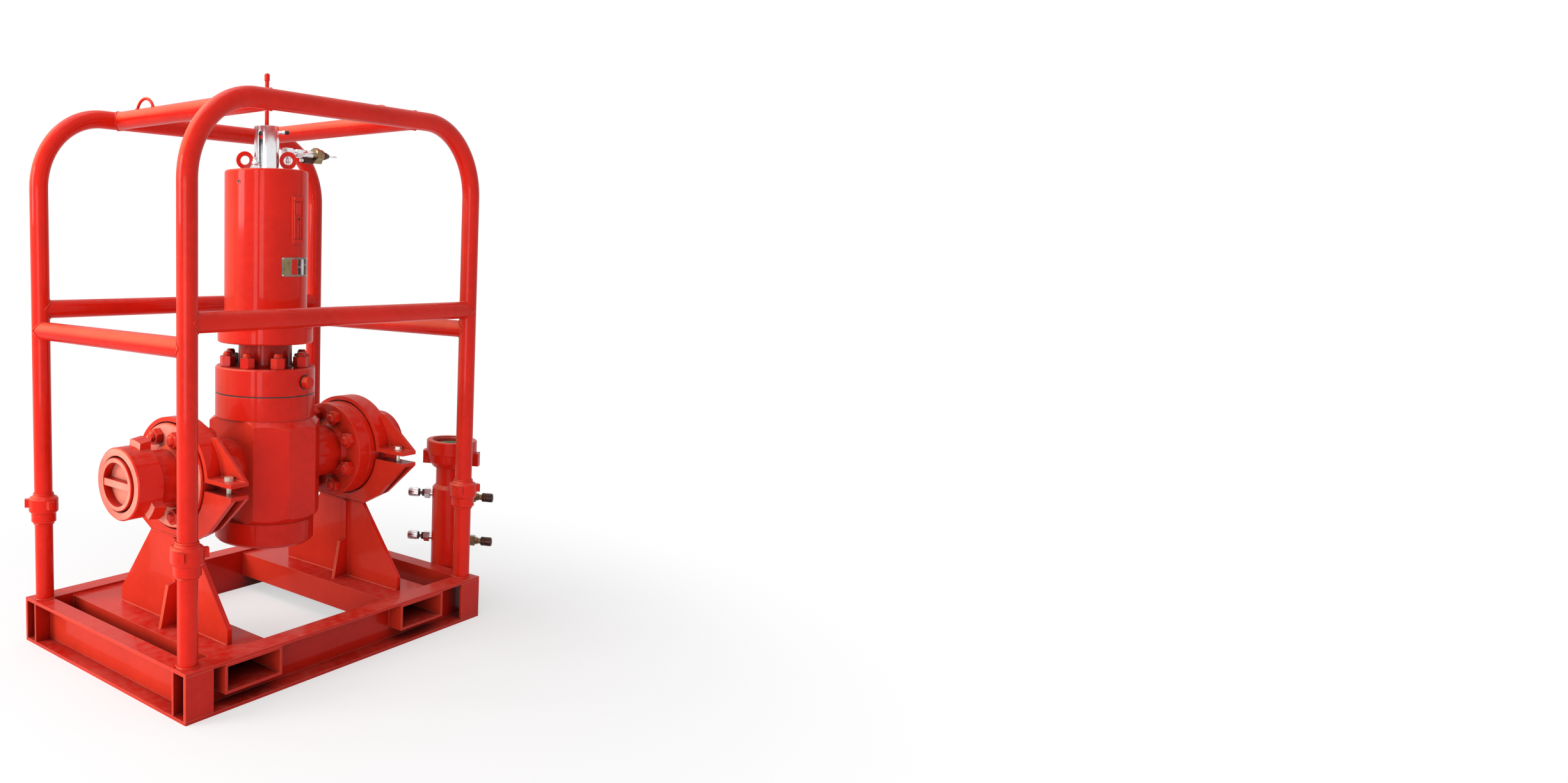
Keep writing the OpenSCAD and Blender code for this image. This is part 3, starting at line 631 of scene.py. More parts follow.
class SKID_OT_finishes(bpy.types.Operator):
    """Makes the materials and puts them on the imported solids"""

    bl_idname = "skid.finishes"
    bl_label = "Finishes"

    def execute(self, context):
        paint = context.scene.skid_paint
        enamel(paint)
        # Enamel with twice the paler edges, partly rubbing of the paint and partly painted highlight
        enamel(paint, "pale_edged_enamel", 2.0)
        # Enamel with paler pinkish faces along X
        enamel(paint, "pale_ended_enamel", 1.4, 1.1)
        turned_metal("chrome_sleeve", (0.80, 0.81, 0.83), 0.10, (900, 900, 20), tint_amount=0.12)
        turned_metal("zinc_plate", tuple(paint.zinc), 0.34, tint=(0.55, 0.46, 0.26), tint_amount=0.45)
        turned_metal("turned_steel", tuple(paint.steel), 0.24, (300, 300, 300))
        turned_metal("bright_fitting", (0.78, 0.79, 0.82), 0.16, (200, 200, 200), (0.30, 0.29, 0.27), 0.35)
        turned_metal("burnt_end", (0.085, 0.045, 0.035), 0.36, (300, 300, 300), (0.02, 0.018, 0.018), 0.8)
        turned_metal("plate_metal", (0.24, 0.21, 0.19), 0.34, (60, 60, 900), (0.10, 0.07, 0.05), 0.7)
        turned_metal("olive_field", (0.26, 0.21, 0.10), 0.42, (60, 60, 900), (0.10, 0.08, 0.04), 0.7)
        turned_metal("dark_brass", tuple(paint.brass), 0.38, (300, 300, 300), (0.05, 0.04, 0.035), 0.7)
        rubber("green_seal", tuple(paint.seal), 0.5)
        rubber("black_rubber", (0.02, 0.02, 0.021), 0.55)
        # Near-black steel: the gasket's own dark, and painted shade in the spool's bore, the ports and round the
        # bleed plug
        oily_steel("dark_steel_and_shade")
        by_slot = {
            "red_paint": "red_enamel", "chrome": "chrome_sleeve", "zinc": "zinc_plate",
            "steel": "turned_steel", "dark_brass": "dark_brass",
        }
        for name, solid in frame["nodes"].items():
            looks = by_slot[SLOT_OF[name]]
            # Paler pinkish faces along X on the unions, plugs and flanges
            if name.startswith(("blank_plug_", "wing_nut_", "flange_l", "flange_r")):
                looks = "pale_ended_enamel"
            # Paler edges on the skid's members: partly rubbing of the paint, partly painted highlight
            elif name.startswith(("skid_", "fork_", "corner_")):
                looks = "pale_edged_enamel"
            material = bpy.data.materials[looks]
            solid.data.materials.clear()
            solid.data.materials.append(material)
        return {"FINISHED"}


class SKID_OT_cage_welds(bpy.types.Operator):
    """Lays the welds where the cage's tubes meet each other and the deck"""

    bl_idname = "skid.cage_welds"
    bl_label = "Cage Welds"

    def execute(self, context):
        size = context.scene.skid_detail
        shape = Shape()
        for seed, path in enumerate(self.seams(), 1):
            shape.bead(path, size.weld, size.ripple, True, seed=seed)
        shape.made("cage_welds", "red_enamel", "red_paint")
        return {"FINISHED"}

    def seams(self):
        foot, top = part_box("post_stubs")
        for x, y in ((x, y) for x in (POST_LOW.x, POST_HIGH.x) for y in (POST_LOW.y, POST_HIGH.y)):
            for z in (foot.z + 0.001, top.z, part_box("arch_front")[0].z):
                yield circle(Vector((x, y, z)), TUBE_R + 0.001)
        for name in ("rail_front", "rail_back", "rail_left", "rail_right"):
            for end in (-1, 1):
                yield self.saddle(centre(name), name in ("rail_front", "rail_back"), end)
        for name in ("cross_tube_left", "cross_tube_right"):
            for end in (-1, 1):
                yield self.saddle(Vector((centre(name).x, 0, ARCH_Z)), False, end, True)

    def saddle(self, middle, lengthwise, end, roof=False):
        """The seam between a tube and the post, or at the roof the arch, that it ends on"""
        points = []
        for a in full_turn(SEAM_POINTS):
            across, rise = TUBE_R * math.cos(a), TUBE_R * math.sin(a)
            inward = math.sqrt(max(0.0, TUBE_R**2 - (rise if roof else across) ** 2)) + 0.0008
            post = POST_HIGH if end > 0 else POST_LOW
            if lengthwise:
                points.append(Vector((post.x - end * inward, middle.y + across, middle.z + rise)))
            else:
                points.append(Vector((middle.x + across, post.y - end * inward, middle.z + rise)))
        return points


class SKID_OT_stud_nuts(bpy.types.Operator):
    """Builds the painted nuts and stud ends of the bonnet and the flanges"""

    bl_idname = "skid.stud_nuts"
    bl_label = "Stud Nuts"

    def execute(self, context):
        pitch = context.scene.skid_detail.thread_pitch
        height = NUT_HIGH.z - NUT_LOW.z
        ring = (NUT_HIGH.x - NUT_LOW.x) / 2
        turn = math.tau / STUDS / 2
        # The pitch circle from the nuts' own box: the outermost hexagon corner lies at its edge
        pitch_r = (ring - NUT_ACROSS / math.sqrt(3) * math.cos(turn)) / math.cos(turn)
        shape = Shape()
        for i in range(STUDS):
            at = along_z(Vector((AXIS.x, AXIS.y, NUT_LOW.z)), turn + math.tau * i / STUDS)
            self.stud(shape, at @ Matrix.Translation((pitch_r, 0, 0)), height, pitch)
        piece = shape.made("bonnet_stud_nuts", "red_enamel", "red_paint")
        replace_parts(piece, "bonnet_nuts")

        shape = Shape()
        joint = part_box("flange_right")[0].x - AXIS.x
        flange_t, circle_r, nut_h = 0.053, 0.131, 0.038
        for side in (-1, 1):
            for i in range(STUDS):
                a = turn + math.tau * i / STUDS
                self.stud(shape, along_run(joint + flange_t, side, a, circle_r), nut_h, pitch)
                self.stud(shape, along_run(joint - flange_t, side, a, circle_r, True), nut_h, pitch)
        piece = shape.made("flange_stud_nuts", "red_enamel", "red_paint")
        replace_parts(piece, "flange_nuts")
        return {"FINISHED"}

    def stud(self, shape, at, height, pitch):
        shape.hexagon(NUT_ACROSS, height * 0.72, at, bore=NUT_ACROSS * 0.3)
        shape.thread(NUT_ACROSS * 0.34, height * 0.70, height, pitch, at)


class SKID_OT_clamp_bolts(bpy.types.Operator):
    """Builds the plated bolts, washers and nuts that draw the pipe clamps' ears together"""

    bl_idname = "skid.clamp_bolts"
    bl_label = "Clamp Bolts"

    def execute(self, context):
        across, washer_t = 0.0275, 0.0025
        ear_middle, bolt_offset = 0.028, 0.244
        shape = Shape()
        for x in SUPPORTS:
            for dy in (-bolt_offset, bolt_offset):
                spot = Vector((x + ear_middle, AXIS.y + dy, 0))
                turn = 7 * x + dy
                top = along_z(spot + Vector((0, 0, EAR_TOP)), turn)
                foot = along_z(spot + Vector((0, 0, EAR_FOOT)), turn + 0.4) @ Matrix.Rotation(math.pi, 4, "X")
                for at in (top, foot):
                    shape.turned(mm((8, 0), (16.5, 0), (16.5, 2.5), (8, 2.5)), at, 36)
                shape.hexagon(across, 0.0095, top @ lift(washer_t))
                shape.turned([(0.008, EAR_FOOT - 0.004), (0.008, EAR_TOP + 0.004)], along_z(spot), 24)
                shape.hexagon(across, 0.0115, foot @ lift(washer_t), bore=0.007)
                shape.thread(0.0079, 0.012, 0.0172, 0.0015, foot, 24)
        piece = shape.made("plated_clamp_bolts", "zinc_plate", "zinc")
        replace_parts(piece, "clamp_bolts")
        return {"FINISHED"}


class SKID_OT_support_welds(bpy.types.Operator):
    """Lays the welds of the pedestals, their stiffeners and the clamps' ears"""

    bl_idname = "skid.support_welds"
    bl_label = "Support Welds"

    def execute(self, context):
        size = context.scene.skid_detail
        for name, x in zip(("left", "right"), SUPPORTS):
            shape = Shape()
            runs = [*self.pedestal(x), *self.ears(x)]
            for seed, path in enumerate(runs):
                shape.bead(path, size.weld * 0.85, size.ripple, seed=seed)
            shape.made(f"support_welds_{name}", "red_enamel", "red_paint")
        return {"FINISHED"}

    def pedestal(self, x):
        front, back, foot = x - HALF_PLATE, x + HALF_PLATE, DECK_Z
        half_width, half_pad, rib_reach = 0.283, 0.108, 0.070
        ribs = (AXIS.y - 0.040, AXIS.y - 0.026)
        low, high, rib = AXIS.y - half_width, AXIS.y + half_width, front - rib_reach
        yield line((front, low, foot), (front, ribs[0], foot))
        yield line((front, ribs[1], foot), (front, high, foot))
        yield line((back, low, foot), (back, high, foot))
        for face in (front, back):
            yield line((face, AXIS.y - half_pad, PAD_Z), (face, AXIS.y + half_pad, PAD_Z))
        for y in ribs:
            yield line((front, y, foot), (front, y, PAD_Z - 0.004))
            yield line((front, y, foot), (rib, y, foot))
        yield line((rib, ribs[0], foot), (rib, ribs[1], foot))

    def ears(self, x):
        front, gusset = x - 0.008, x + 0.048
        for side in (-1, 1):
            for z, past in ((EAR_TOP, 45), (EAR_FOOT, -56)):
                start = math.asin((z - RUN_Z) / BAND_R)
                wall = AXIS.y + side * BAND_R * math.cos(start)
                yield line((front, wall, z), (gusset, wall, z))
                yield line((gusset, wall, z), (gusset, AXIS.y + side * 0.296, z))
                yield self.arc(gusset, side, start, math.radians(past))
            yield self.arc(x + 0.009, side, math.asin((EAR_FOOT - RUN_Z) / BAND_R), math.radians(-64))

    def arc(self, x, side, start, end):
        """A seam round the clamp's band"""
        count = int(abs(end - start) * BAND_R / 0.002)
        angles = [start + (end - start) * i / count for i in range(count + 1)]
        return [
            Vector((x, AXIS.y + side * BAND_R * math.cos(a), RUN_Z + BAND_R * math.sin(a))) for a in angles
        ]


class SKID_OT_skid_welds(bpy.types.Operator):
    """Lays the welds of the skid's channels, fork pockets and spool brackets"""

    bl_idname = "skid.skid_welds"
    bl_label = "Skid Welds"

    def execute(self, context):
        size = context.scene.skid_detail
        shape = Shape()
        runs = [*self.pockets(), *self.corner_seams(), *self.brackets()]
        for seed, path in enumerate(runs):
            shape.bead(path, size.weld * 0.9, size.ripple, seed=seed)
        small = [*self.rings(), *self.eyes()]
        for seed, path in enumerate(small):
            shape.bead(path, size.weld * 0.55, size.ripple * 0.6, True, seed=seed)
        shape.made("skid_welds", "red_enamel", "red_paint")
        return {"FINISHED"}

    def pockets(self):
        """Round each fork pocket, on both faces of both long channels' webs"""
        for name in ("fork_tube_left", "fork_tube_right"):
            low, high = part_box(name)
            for side in (-1, 1):
                for y in (0.3850, 0.3920):
                    y *= side
                    foot = [(x, y, low.z) for x in (low.x, high.x)]
                    top = [(x, y, high.z) for x in (high.x, low.x)]
                    yield polyline([*foot, *top, foot[0]])

    def corner_seams(self):
        """Where the end channels meet the long ones"""
        low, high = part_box("skid_end_left")[0].x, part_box("skid_end_right")[1].x
        for x, inward in ((low, 1), (high, -1)):
            web = x + inward * 0.058
            for side in (-1, 1):
                y = side * 0.385
                yield line((web, y, 0.149), (x + inward * 0.002, y, 0.149))
                yield line((web + inward * 0.007, y, 0.012), (web + inward * 0.007, y, 0.149))
                yield line((web, y, 0.012), (web, y, 0.138))

    def brackets(self):
        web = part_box("skid_end_right")[1].x - 0.058
        for z in (0.075, 0.085):
            path = circle(Vector((SPOOL.x, SPOOL.y, z)), SPOOL_R, count=200)
            yield [*path[10:], *path[:11]]
            yield line((web, SPOOL.y - 0.074, z), (web, SPOOL.y + 0.074, z))

    def rings(self):
        """At the feet of the lifting rings on the roof"""
        for name, side in (("cross_tube_left", 1), ("cross_tube_right", -1)):
            x, top = centre(name).x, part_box(name)[1].z
            for dy in (-0.0449, 0.0449):
                yield circle(Vector((x, side * 0.235 + dy, top + 0.0005)), 0.006, count=36)

    def eyes(self):
        """At the feet of the lifting eyes on the actuator"""
        for turn in (-44, 136):
            a = math.radians(turn)
            spot = around(a, 0.072, ACTUATOR_HIGH.z + 0.001)
            yield circle(spot, 0.0108, count=60)


class SKID_OT_spool_fittings(bpy.types.Operator):
    """Builds the plugs and valves that point away from the spool's wall"""

    bl_idname = "skid.spool_fittings"
    bl_label = "Spool Fittings"

    def execute(self, context):
        steel, seals, brass, ends = Shape(), Shape(), Shape(), Shape()
        for z in (0.240, 0.410):
            at = self.outward(z, -62 + 180)
            steel.hexagon(0.036, 0.022, at @ lift(0.010))
            steel.turned(mm((11.5, 1), (11.5, 11), (10, 11.5)), at, 40)
            steel.turned(mm((9.5, 30), (9.5, 50), (8.5, 52), (8.5, 60)), at, 40)
            steel.fluted(0.0168, 0.056, 0.0948, 30, 0.0009, at)
            seals.turned(mm((0.4, 32), (12.8, 32), (13.8, 34), (13.8, 40), (12.8, 42), (0.4, 42)), at, 48)
            seals.ring(mm((12, 53), (15, 53), (15, 56.5), (12, 56.5)), at)
            at = self.outward(z, -62)
            brass.hexagon(0.036, 0.022, at @ lift(0.010))
            brass.turned(mm((13, 1), (13, 11), (10, 11.5)), at, 40)
            brass.turned(mm((10, 31), (13.8, 32.5), (13.8, 41), (10.8, 43), (10.8, 56)), at, 48)
            ends.turned(mm(
                (0.4, 54), (15, 54), (16.8, 56), (16.8, 66), (16, 67), (16, 69), (16.8, 70), (16.8, 91.5),
                (13.5, 94.8), (8.5, 94.8), (8, 88), (0.4, 88),
            ), at, 56)
        names = ("spool_steel_fittings",)
        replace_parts(steel.made("spool_plugs", "bright_fitting", "steel"), *names)
        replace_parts(seals.made("spool_plug_seals", "black_rubber", "steel"), *names)
        names = ("spool_brass_fittings",)
        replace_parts(brass.made("spool_valve_bodies", "dark_brass", "dark_brass"), *names)
        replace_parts(ends.made("spool_valve_ends", "burnt_end", "dark_brass"), *names)
        return {"FINISHED"}

    def outward(self, z, turn):
        place = Matrix.Translation(Vector((SPOOL.x, SPOOL.y, z))) @ Matrix.Rotation(math.radians(turn), 4, "Z")
        return place @ Matrix.Rotation(math.pi / 2, 4, "Y") @ lift(SPOOL_R - 0.002)


class SKID_OT_exhaust(bpy.types.Operator):
    """Builds the exhaust fitting on the actuator: riser, elbow, tube, nut, muffler and needle"""

    bl_idname = "skid.exhaust"
    bl_label = "Exhaust Fitting"

    def execute(self, context):
        foot = Vector((AXIS.x + 0.096, AXIS.y, ACTUATOR_HIGH.z + 0.0002))
        riser = Matrix.Translation(foot)
        run = Matrix.Translation(foot + Vector((0, 0, 0.068))) @ Matrix.Rotation(math.pi / 2, 4, "Y")
        side = run @ Matrix.Translation((0.021, 0, 0.070))
        steel, brass, dark = Shape(), Shape(), Shape()
        steel.hexagon(0.030, 0.016, riser)
        steel.turned(mm((10.8, 15), (10.8, 34), (12.5, 36), (12.5, 46), (10.8, 48), (10.8, 60)), riser, 40)
        steel.hexagon(0.030, 0.032, run @ lift(-0.016))
        steel.turned(mm((11.8, 15), (11.8, 26), (10.5, 27), (10.5, 36)), run, 40)
        steel.hexagon(0.0270, 0.026, run @ lift(0.034))
        steel.turned(mm(
            (12.5, 58), (14, 60), (14, 80), (12.8, 82), (12.8, 84), (14, 86), (14, 108), (11.5, 110),
            (11.5, 122),
        ), run, 48)
        nut = run @ lift(0.120) @ Matrix.Rotation(math.pi / 6, 4, "Z")
        brass.hexagon(0.044, 0.0235, nut)
        brass.turned(mm((18, 143), (20.5, 144.5), (20.5, 156), (16, 160), (10, 160)), run, 56)
        dark.turned(mm(
            (10, 159), (15, 160.5), (15, 166), (13.6, 167), (13.6, 169), (14, 170), (11.8, 179), (10.4, 179.5),
            (10.4, 181), (11, 181.5), (7.2, 192), (3, 192.2),
        ), run, 56)
        steel.turned(mm((3, 190), (3, 216), (2.4, 217), (2.4, 219), (3, 220), (3, 232.5), (1.8, 234)), run, 24)
        dark.turned(mm(
            (8.5, 0), (10, 1.5), (10, 30), (8.8, 31), (8.8, 34), (10, 35), (10, 46.5), (8, 48),
        ), side, 48)
        brass.turned(mm(
            (6, 47), (7.8, 48), (7.8, 62), (6.8, 63), (6.8, 65), (7.8, 66), (7.8, 86), (5.5, 88),
        ), side, 40)
        steel.thread(0.0060, 0.000, 0.014, 0.0015, side @ Matrix.Rotation(math.pi, 4, "X"), 24)
        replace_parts(steel.made("exhaust_tube", "bright_fitting", "steel"), "exhaust_fitting")
        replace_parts(brass.made("exhaust_nut", "dark_brass", "dark_brass"), "exhaust_fitting")
        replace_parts(dark.made("exhaust_muffler", "burnt_end", "dark_brass"), "exhaust_fitting")
        return {"FINISHED"}


class SKID_OT_bores(bpy.types.Operator):
    """Lines the spool's bore with near-black steel, partly the bore's own dark steel and partly painted shade
    deep inside it, seats its seal and cuts the threads of the unions
    """

    bl_idname = "skid.bores"
    bl_label = "Bores and Threads"

    def execute(self, context):
        spool = Matrix.Translation((SPOOL.x, SPOOL.y, SPOOL_TOP))
        # Near-black lining and a disc at the bore's foot: dark steel, and painted shade deep in the bore
        liner = Shape()
        liner.ring(mm(
            (45.9, -22.5), (44.2, -22.5), (44.2, -156), (0.4, -156), (0.4, -159.6), (45.9, -159.6),
        ), spool)
        liner.made("spool_liner", "dark_steel_and_shade", "steel")
        seal = Shape()
        seal.ring(mm((46.2, -21.9), (57, -21.9), (57, -18.5), (55.5, -16.5), (50, -16), (46.5, -18)), spool, 96)
        seal.made("spool_seal", "green_seal", "steel")
        threads = Shape()
        threads.inner_thread(0.0708, 0.0729, -0.0215, -0.0035, 0.0050, spool)
        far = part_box("wing_nut_right")[1].x - AXIS.x
        for side in (-1, 1):
            threads.inner_thread(0.0852, 0.0882, far - 0.0245, far - 0.0015, 0.0060, along_run(0, side), 120)
        threads.made("union_threads", "pale_edged_enamel", "red_paint")
        return {"FINISHED"}


class SKID_OT_actuator_details(bpy.types.Operator):
    """Builds the actuator's knob, plugs, port and ribs with near-black discs in the ports' mouths as painted
    shade, the bonnet's dark gasket, and a near-black ring round the bleed plug as painted shadow
    """

    bl_idname = "skid.actuator_details"
    bl_label = "Actuator Details"

    def execute(self, context):
        knob, caps, paint, dark = Shape(), Shape(), Shape(), Shape()
        at = self.outward(0.0415, -45, 1.724)
        knob.turned(mm(
            (6, -2), (6, 1.5), (4.2, 2), (4.2, 8.5), (6.2, 9.5), (7.2, 12.5), (7.2, 16.5), (6, 19.5), (0.4, 20),
        ), at, 32)
        caps.turned(mm((0.4, 19), (5.8, 19), (6.6, 20.5), (6.6, 31), (5.4, 33), (0.4, 33)), at, 32)
        spot = Matrix.Translation(around(math.radians(-170), 0.060, ACTUATOR_HIGH.z + 0.0002))
        knob.hexagon(0.026, 0.014, spot)
        knob.turned(mm(
            (10.5, 13), (11.8, 15), (11.8, 26), (10, 28), (7.8, 30), (7.8, 37), (6.2, 41), (0.4, 41),
        ), spot, 36)
        port = self.outward(ACTUATOR_R - 0.0012, -171, ACTUATOR_HIGH.z - 0.042)
        paint.ring(mm((4.2, 0), (7.8, 0), (7.4, 2.2), (4.6, 2.2)), port, 40)
        # Painted shade: a near-black disc in the port's mouth stands for the open hole
        dark.turned(mm((0.4, 0), (4.3, 0), (4.3, 1.4), (0.4, 1.4)), port, 32)
        self.strip(paint, dark)
        self.seals()
        knob.made("actuator_plugs", "bright_fitting", "steel")
        caps.made("knob_cap", "black_rubber", "steel")
        paint.made("actuator_ribs", "red_enamel", "red_paint")
        dark.made("actuator_port_shade", "dark_steel_and_shade", "steel")
        return {"FINISHED"}

    def seals(self):
        """The dark gasket in the bonnet's joint, and a near-black ring under its plug that is painted shadow in
        the plug's seat
        """
        dark = Shape()
        wall = (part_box("bonnet")[1].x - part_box("bonnet")[0].x) / 2
        joint = Matrix.Translation((AXIS.x, AXIS.y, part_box("bonnet")[0].z))
        inner, outer = wall - 0.0035, wall - 0.0008
        dark.ring([(inner, -0.0004), (outer, -0.0021), (outer, 0.0021), (inner, 0.0004)], joint, 128)
        # Painted shadow: a near-black ring round the bleed plug's foot
        plug = self.outward(wall, -81, centre("bleed_plug").z)
        dark.ring(mm((20.1, -2.6), (24.5, -2.6), (24.5, 0.6), (20.1, 0.6)), plug, 64)
        dark.made("bonnet_gasket_and_shadow", "dark_steel_and_shade", "steel")

    def strip(self, paint, dark):
        """Ribs, end blocks and a port on the raised strip"""
        foot = ACTUATOR_LOW.z + 0.337
        wall = ACTUATOR_R + 0.007
        for u, low, high in (
            (-0.0195, -0.060, 0.060), (0.0195, -0.060, 0.060),
            (-0.0045, -0.060, -0.012), (0.0075, -0.060, -0.012),
        ):
            self.block(paint, wall, u - 0.0022, u + 0.0022, foot + low, foot + high, 0.0032)
        for low, high in ((-0.075, -0.062), (0.062, 0.075)):
            self.block(paint, wall, -0.0225, 0.0225, foot + low, foot + high, 0.0040)
        self.block(paint, wall, -0.0120, 0.0120, foot + 0.018, foot + 0.058, 0.0028)
        port = self.outward(wall - 0.0002, -85, foot + 0.004)
        paint.ring(mm((5.2, 0), (9.2, 0), (8.6, 3), (5.6, 3)), port, 40)
        # Painted shade: a near-black disc in the port's mouth stands for the open hole
        dark.turned(mm((0.4, 0), (5.3, 0), (5.3, 1.2), (0.4, 1.2)), port, 32)

    def block(self, shape, wall, left, right, low, high, height):
        """A raised block on the strip, its edges drawn in at the top"""
        turn = math.radians(-85)
        rings = []
        for rise, inset in ((-0.0012, 0.0), (height * 0.6, 0.0), (height, 0.0010)):
            steps, width = 6, right - left - 2 * inset
            spans = [(left + inset + width * i / steps, low + inset) for i in range(steps + 1)]
            spans += [(right - inset - width * i / steps, high - inset) for i in range(steps + 1)]
            rings.append([around(turn + u / wall, wall + rise, z) for u, z in spans])
        shape.loft(rings)

    def outward(self, radius, turn, z):
        """A place on a wall round the valve axis: its own Z points outwards"""
        a = math.radians(turn)
        place = Matrix.Translation(around(a, radius, z)) @ Matrix.Rotation(a, 4, "Z")
        return place @ Matrix.Rotation(math.pi / 2, 4, "Y")


class SKID_OT_nameplate(bpy.types.Operator):
    """Rivets a blank bright plate with empty fields to the actuator"""

    bl_idname = "skid.nameplate"
    bl_label = "Blank Nameplate"

    def execute(self, context):
        size = context.scene.skid_detail
        width, height = size.nameplate
        self.facing = math.radians(-83)
        self.middle = ACTUATOR_LOW.z + 0.185
        wall = ACTUATOR_R + 0.0003
        plate, fields, red, dark, bright, rivets = (Shape() for _ in range(6))
        self.sheet(plate, wall, wall + 0.0013, (-width / 2, width / 2, -height / 2, height / 2), 0.005)
        left = -width / 2 + 0.006
        top = 0.0255
        columns = [
            (fields, 0.000, 0.026, ((-top, top),)), (red, 0.031, 0.056, ((-top, top),)),
            (dark, 0.060, 0.074, ((-top, -0.003), (0.003, top))), (bright, 0.078, 0.092, ((-top, top),)),
            (dark, 0.096, 0.112, ((-top, 0.004), (0.010, top))),
        ]
        for shape, start, end, rows in columns:
            for low, high in rows:
                self.sheet(shape, wall + 0.0013, wall + 0.0017, (left + start, left + end, low, high), 0.0015)
        plate.made("blank_nameplate", "plate_metal", "steel")
        fields.made("nameplate_margin", "olive_field", "steel")
        red.made("nameplate_red_field", "red_enamel", "red_paint")
        dark.made("nameplate_dark_fields", "burnt_end", "steel")
        bright.made("nameplate_bright_field", "turned_steel", "steel")
        for u in (-1, 1):
            for v in (-1, 1):
                a = self.facing + u * (width / 2 - 0.0035) / wall
                spot = around(a, wall, self.middle + v * (height / 2 - 0.0035))
                outward = Vector((math.cos(a), math.sin(a), 0)).to_track_quat("Z", "Y")
                at = Matrix.Translation(spot) @ outward.to_matrix().to_4x4()
                r = size.rivet
                rivets.turned([(r, 0.0008), (r * 0.95, 0.0020), (r * 0.6, 0.0029), (0.0003, 0.0032)], at, 20)
        rivets.made("nameplate_rivets", "zinc_plate", "zinc")
        return {"FINISHED"}

    def sheet(self, shape, inner, outer, edges, radius):
        """A thin rounded sheet bent round the actuator's wall"""
        left, right, low, high = edges
        middle, rise = (left + right) / 2, (low + high) / 2
        outline = self.outline(right - left, high - low, radius)
        rise += self.middle
        rings = [[self.on_wall(r, middle + u, rise + v) for u, v in outline] for r in (inner, outer)]
        grids = [self.on_wall(outer, middle + u * 0.98, rise + v * 0.98) for u, v in outline]
        shape.loft([*rings, grids], caps=(True, False))
        # The face is skinned in upright strips, so that it follows the wall
        self.skin(shape, grids, len(outline))

    def skin(self, shape, ring, count):
        start = len(shape.points) - count
        half = count // 2
        for i in range(half - 1):
            a, b = i, i + 1
            c, d = count - 2 - i, count - 1 - i
            shape.faces.append((start + a, start + b, start + c, start + d))

    def outline(self, width, height, radius, steps=4, along=12):
        """A rounded rectangle from its right end over the top to the left, then back along the bottom"""
        flat, rise = width / 2 - radius, height / 2 - radius
        turns = [math.radians(90 * i / steps) for i in range(steps + 1)]
        corner = [(flat + radius * math.cos(a), rise + radius * math.sin(a)) for a in turns]
        top = corner + [(flat - 2 * flat * i / along, height / 2) for i in range(1, along)]
        top += [(-u, v) for u, v in reversed(corner)]
        return top + [(u, -v) for u, v in reversed(top)]

    def on_wall(self, radius, u, z):
        return around(self.facing + u / radius, radius, z)


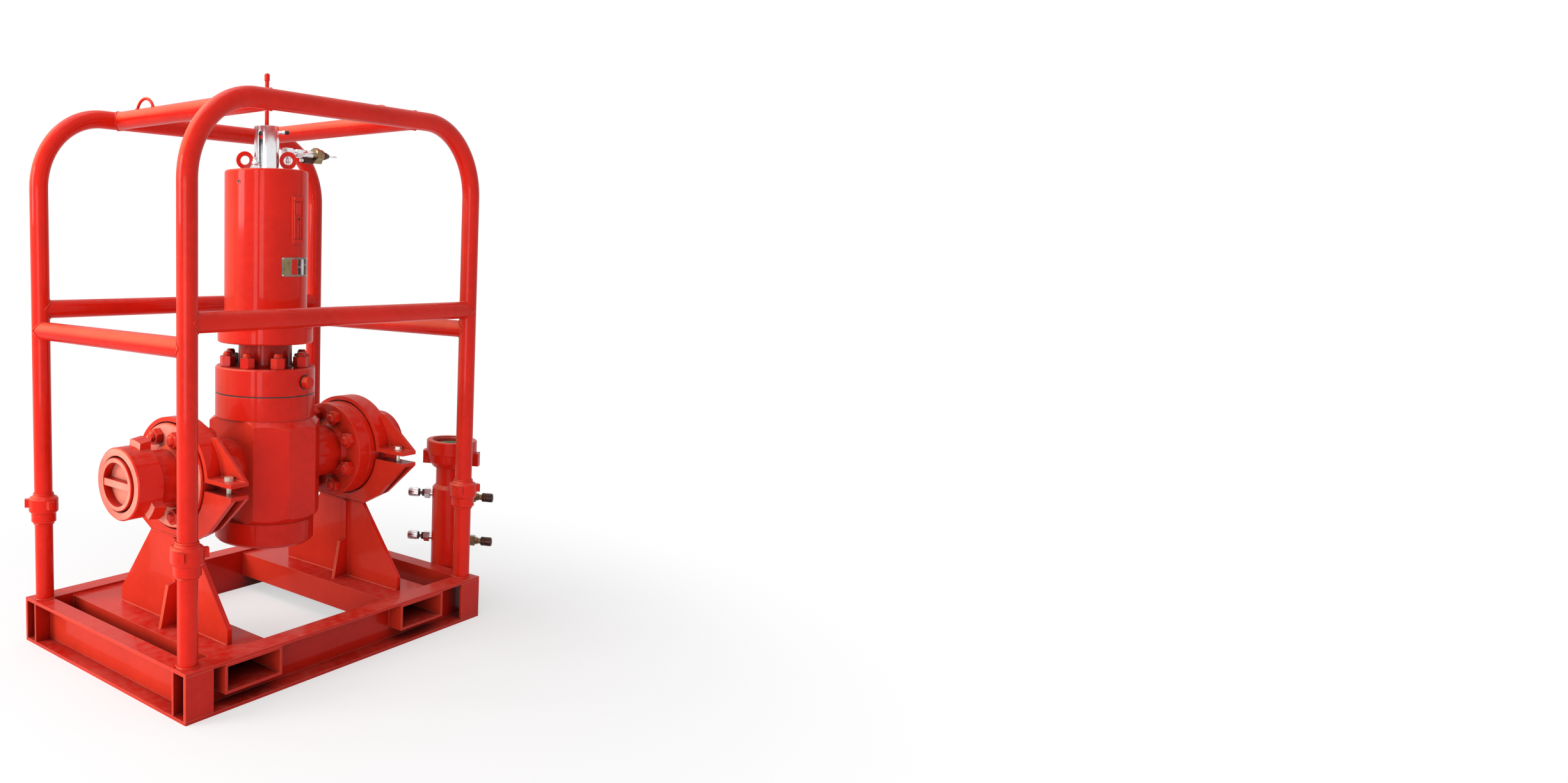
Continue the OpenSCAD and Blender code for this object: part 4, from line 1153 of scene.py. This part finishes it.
class SKID_OT_stage(bpy.types.Operator):
    """Sets the floor, the lamps, the world and the camera"""

    bl_idname = "skid.stage"
    bl_label = "Studio"

    def execute(self, context):
        studio = context.scene.skid_studio
        self.floor(studio)
        self.world(context.scene, studio)
        self.lamp("key_lamp", (-6.2, 2.5, 2.9), (2.4, 2.8), studio.key, Vector((0, 0, 0.9)))
        self.lamp("front_lamp", (-4.6, -2.6, 1.1), (2.4, 2.0), studio.front, Vector((0.1, -0.1, 0.5)))
        self.lamp("top_lamp", (-0.8, 0.8, 4.6), (3.2, 3.2), studio.top, Vector((0, 0, 0.5)))
        self.camera(context.scene, studio)
        context.scene.view_settings.view_transform = "Standard"
        return {"FINISHED"}

    def floor(self, studio):
        mesh = bpy.data.meshes.new("studio_floor")
        reach = 30.0
        outline = [(-reach, -reach, 0), (reach, -reach, 0), (reach, reach, 0), (-reach, reach, 0)]
        mesh.from_pydata(outline, [], [(0, 1, 2, 3)])
        floor = bpy.data.objects.new("studio_floor", mesh)
        bpy.context.scene.collection.objects.link(floor)
        material, g = new_graph("pale_floor")
        distance = g.out("ShaderNodeVectorMath", {"operation": "LENGTH"}, {0: g.place()}, name="Value")
        seen = g.rays("Camera", "Glossy")
        white = seen * (0.55 + distance.step(0.9, 2.2) * 0.45)
        matt = g.add("ShaderNodeBsdfDiffuse", {}, {"Color": tuple(studio.floor)})
        glow = g.add("ShaderNodeEmission", {}, {"Color": (1, 1, 1), "Strength": 1.0})
        mix = g.add("ShaderNodeMixShader", {}, {0: white, 1: matt.outputs[0], 2: glow.outputs[0]})
        g.add("ShaderNodeOutputMaterial", {}, {"Surface": mix.outputs[0]})
        mesh.materials.append(material)

    def world(self, scene, studio):
        world = bpy.data.worlds.new("studio_world")
        scene.world = world
        g = Graph(world)
        seen = g.rays("Camera", "Glossy", "Transmission")
        way = g.out("ShaderNodeTexCoord", name="Generated")
        lean = g.dot(way, BRIGHT_SIDE)
        strength = seen + (1 - seen) * (studio.fill + lean.at_least(0.0) * studio.side)
        glow = g.add("ShaderNodeBackground", {}, {"Color": (1, 1, 1), "Strength": strength})
        g.add("ShaderNodeOutputWorld", {}, {"Surface": glow.outputs[0]})

    def lamp(self, name, place, size, power, target):
        data = bpy.data.lights.new(name, "AREA")
        data.shape = "RECTANGLE"
        data.size, data.size_y = size
        data.energy = power
        lamp = bpy.data.objects.new(name, data)
        lamp.location = place
        lamp.rotation_euler = (target - Vector(place)).to_track_quat("-Z", "Y").to_euler()
        bpy.context.scene.collection.objects.link(lamp)

    def camera(self, scene, studio):
        data = bpy.data.cameras.new("photo_camera")
        data.lens = studio.lens
        data.sensor_width = 36
        data.shift_x, data.shift_y = studio.shift
        forward = Vector((
            math.sin(studio.yaw) * math.cos(studio.pitch), math.cos(studio.yaw) * math.cos(studio.pitch),
            math.sin(studio.pitch),
        ))
        level = Vector((math.cos(studio.yaw), -math.sin(studio.yaw), 0))
        upward = level.cross(forward)
        right = level * math.cos(studio.roll) + upward * math.sin(studio.roll)
        above = upward * math.cos(studio.roll) - level * math.sin(studio.roll)
        camera = bpy.data.objects.new("photo_camera", data)
        camera.matrix_world = Matrix((
            (right.x, above.x, -forward.x, studio.position[0]),
            (right.y, above.y, -forward.y, studio.position[1]),
            (right.z, above.z, -forward.z, studio.position[2]),
            (0, 0, 0, 1),
        ))
        scene.collection.objects.link(camera)
        scene.camera = camera


# In the order that they run
OPERATORS = (
    SKID_OT_finishes,
    SKID_OT_stage,
    SKID_OT_cage_welds,
    SKID_OT_stud_nuts,
    SKID_OT_clamp_bolts,
    SKID_OT_support_welds,
    SKID_OT_skid_welds,
    SKID_OT_spool_fittings,
    SKID_OT_exhaust,
    SKID_OT_bores,
    SKID_OT_actuator_details,
    SKID_OT_nameplate,
)


class SKID_PT_looks(bpy.types.Panel):
    """Lists the pieces in the sidebar"""

    bl_idname = "SKID_PT_looks"
    bl_label = "Valve Skid"
    bl_space_type = "VIEW_3D"
    bl_region_type = "UI"
    bl_category = "Valve Skid"

    def draw(self, context):
        for kind in OPERATORS:
            self.layout.operator(kind.bl_idname)


GROUPS = (PaintSettings, DetailSettings, StudioSettings)


def register():
    for kind in (*GROUPS, *OPERATORS, SKID_PT_looks):
        bpy.utils.register_class(kind)
    bpy.types.Scene.skid_paint = bpy.props.PointerProperty(type=PaintSettings)
    bpy.types.Scene.skid_detail = bpy.props.PointerProperty(type=DetailSettings)
    bpy.types.Scene.skid_studio = bpy.props.PointerProperty(type=StudioSettings)


def unregister():
    del bpy.types.Scene.skid_studio
    del bpy.types.Scene.skid_detail
    del bpy.types.Scene.skid_paint
    for kind in reversed((*GROUPS, *OPERATORS, SKID_PT_looks)):
        bpy.utils.unregister_class(kind)


def main():
    register()
    bpy.ops.skid.finishes()
    bpy.ops.skid.stage()
    bpy.ops.skid.cage_welds()
    bpy.ops.skid.stud_nuts()
    bpy.ops.skid.clamp_bolts()
    bpy.ops.skid.support_welds()
    bpy.ops.skid.skid_welds()
    bpy.ops.skid.spool_fittings()
    bpy.ops.skid.exhaust()
    bpy.ops.skid.bores()
    bpy.ops.skid.actuator_details()
    bpy.ops.skid.nameplate()


if __name__ == "__main__":
    main()
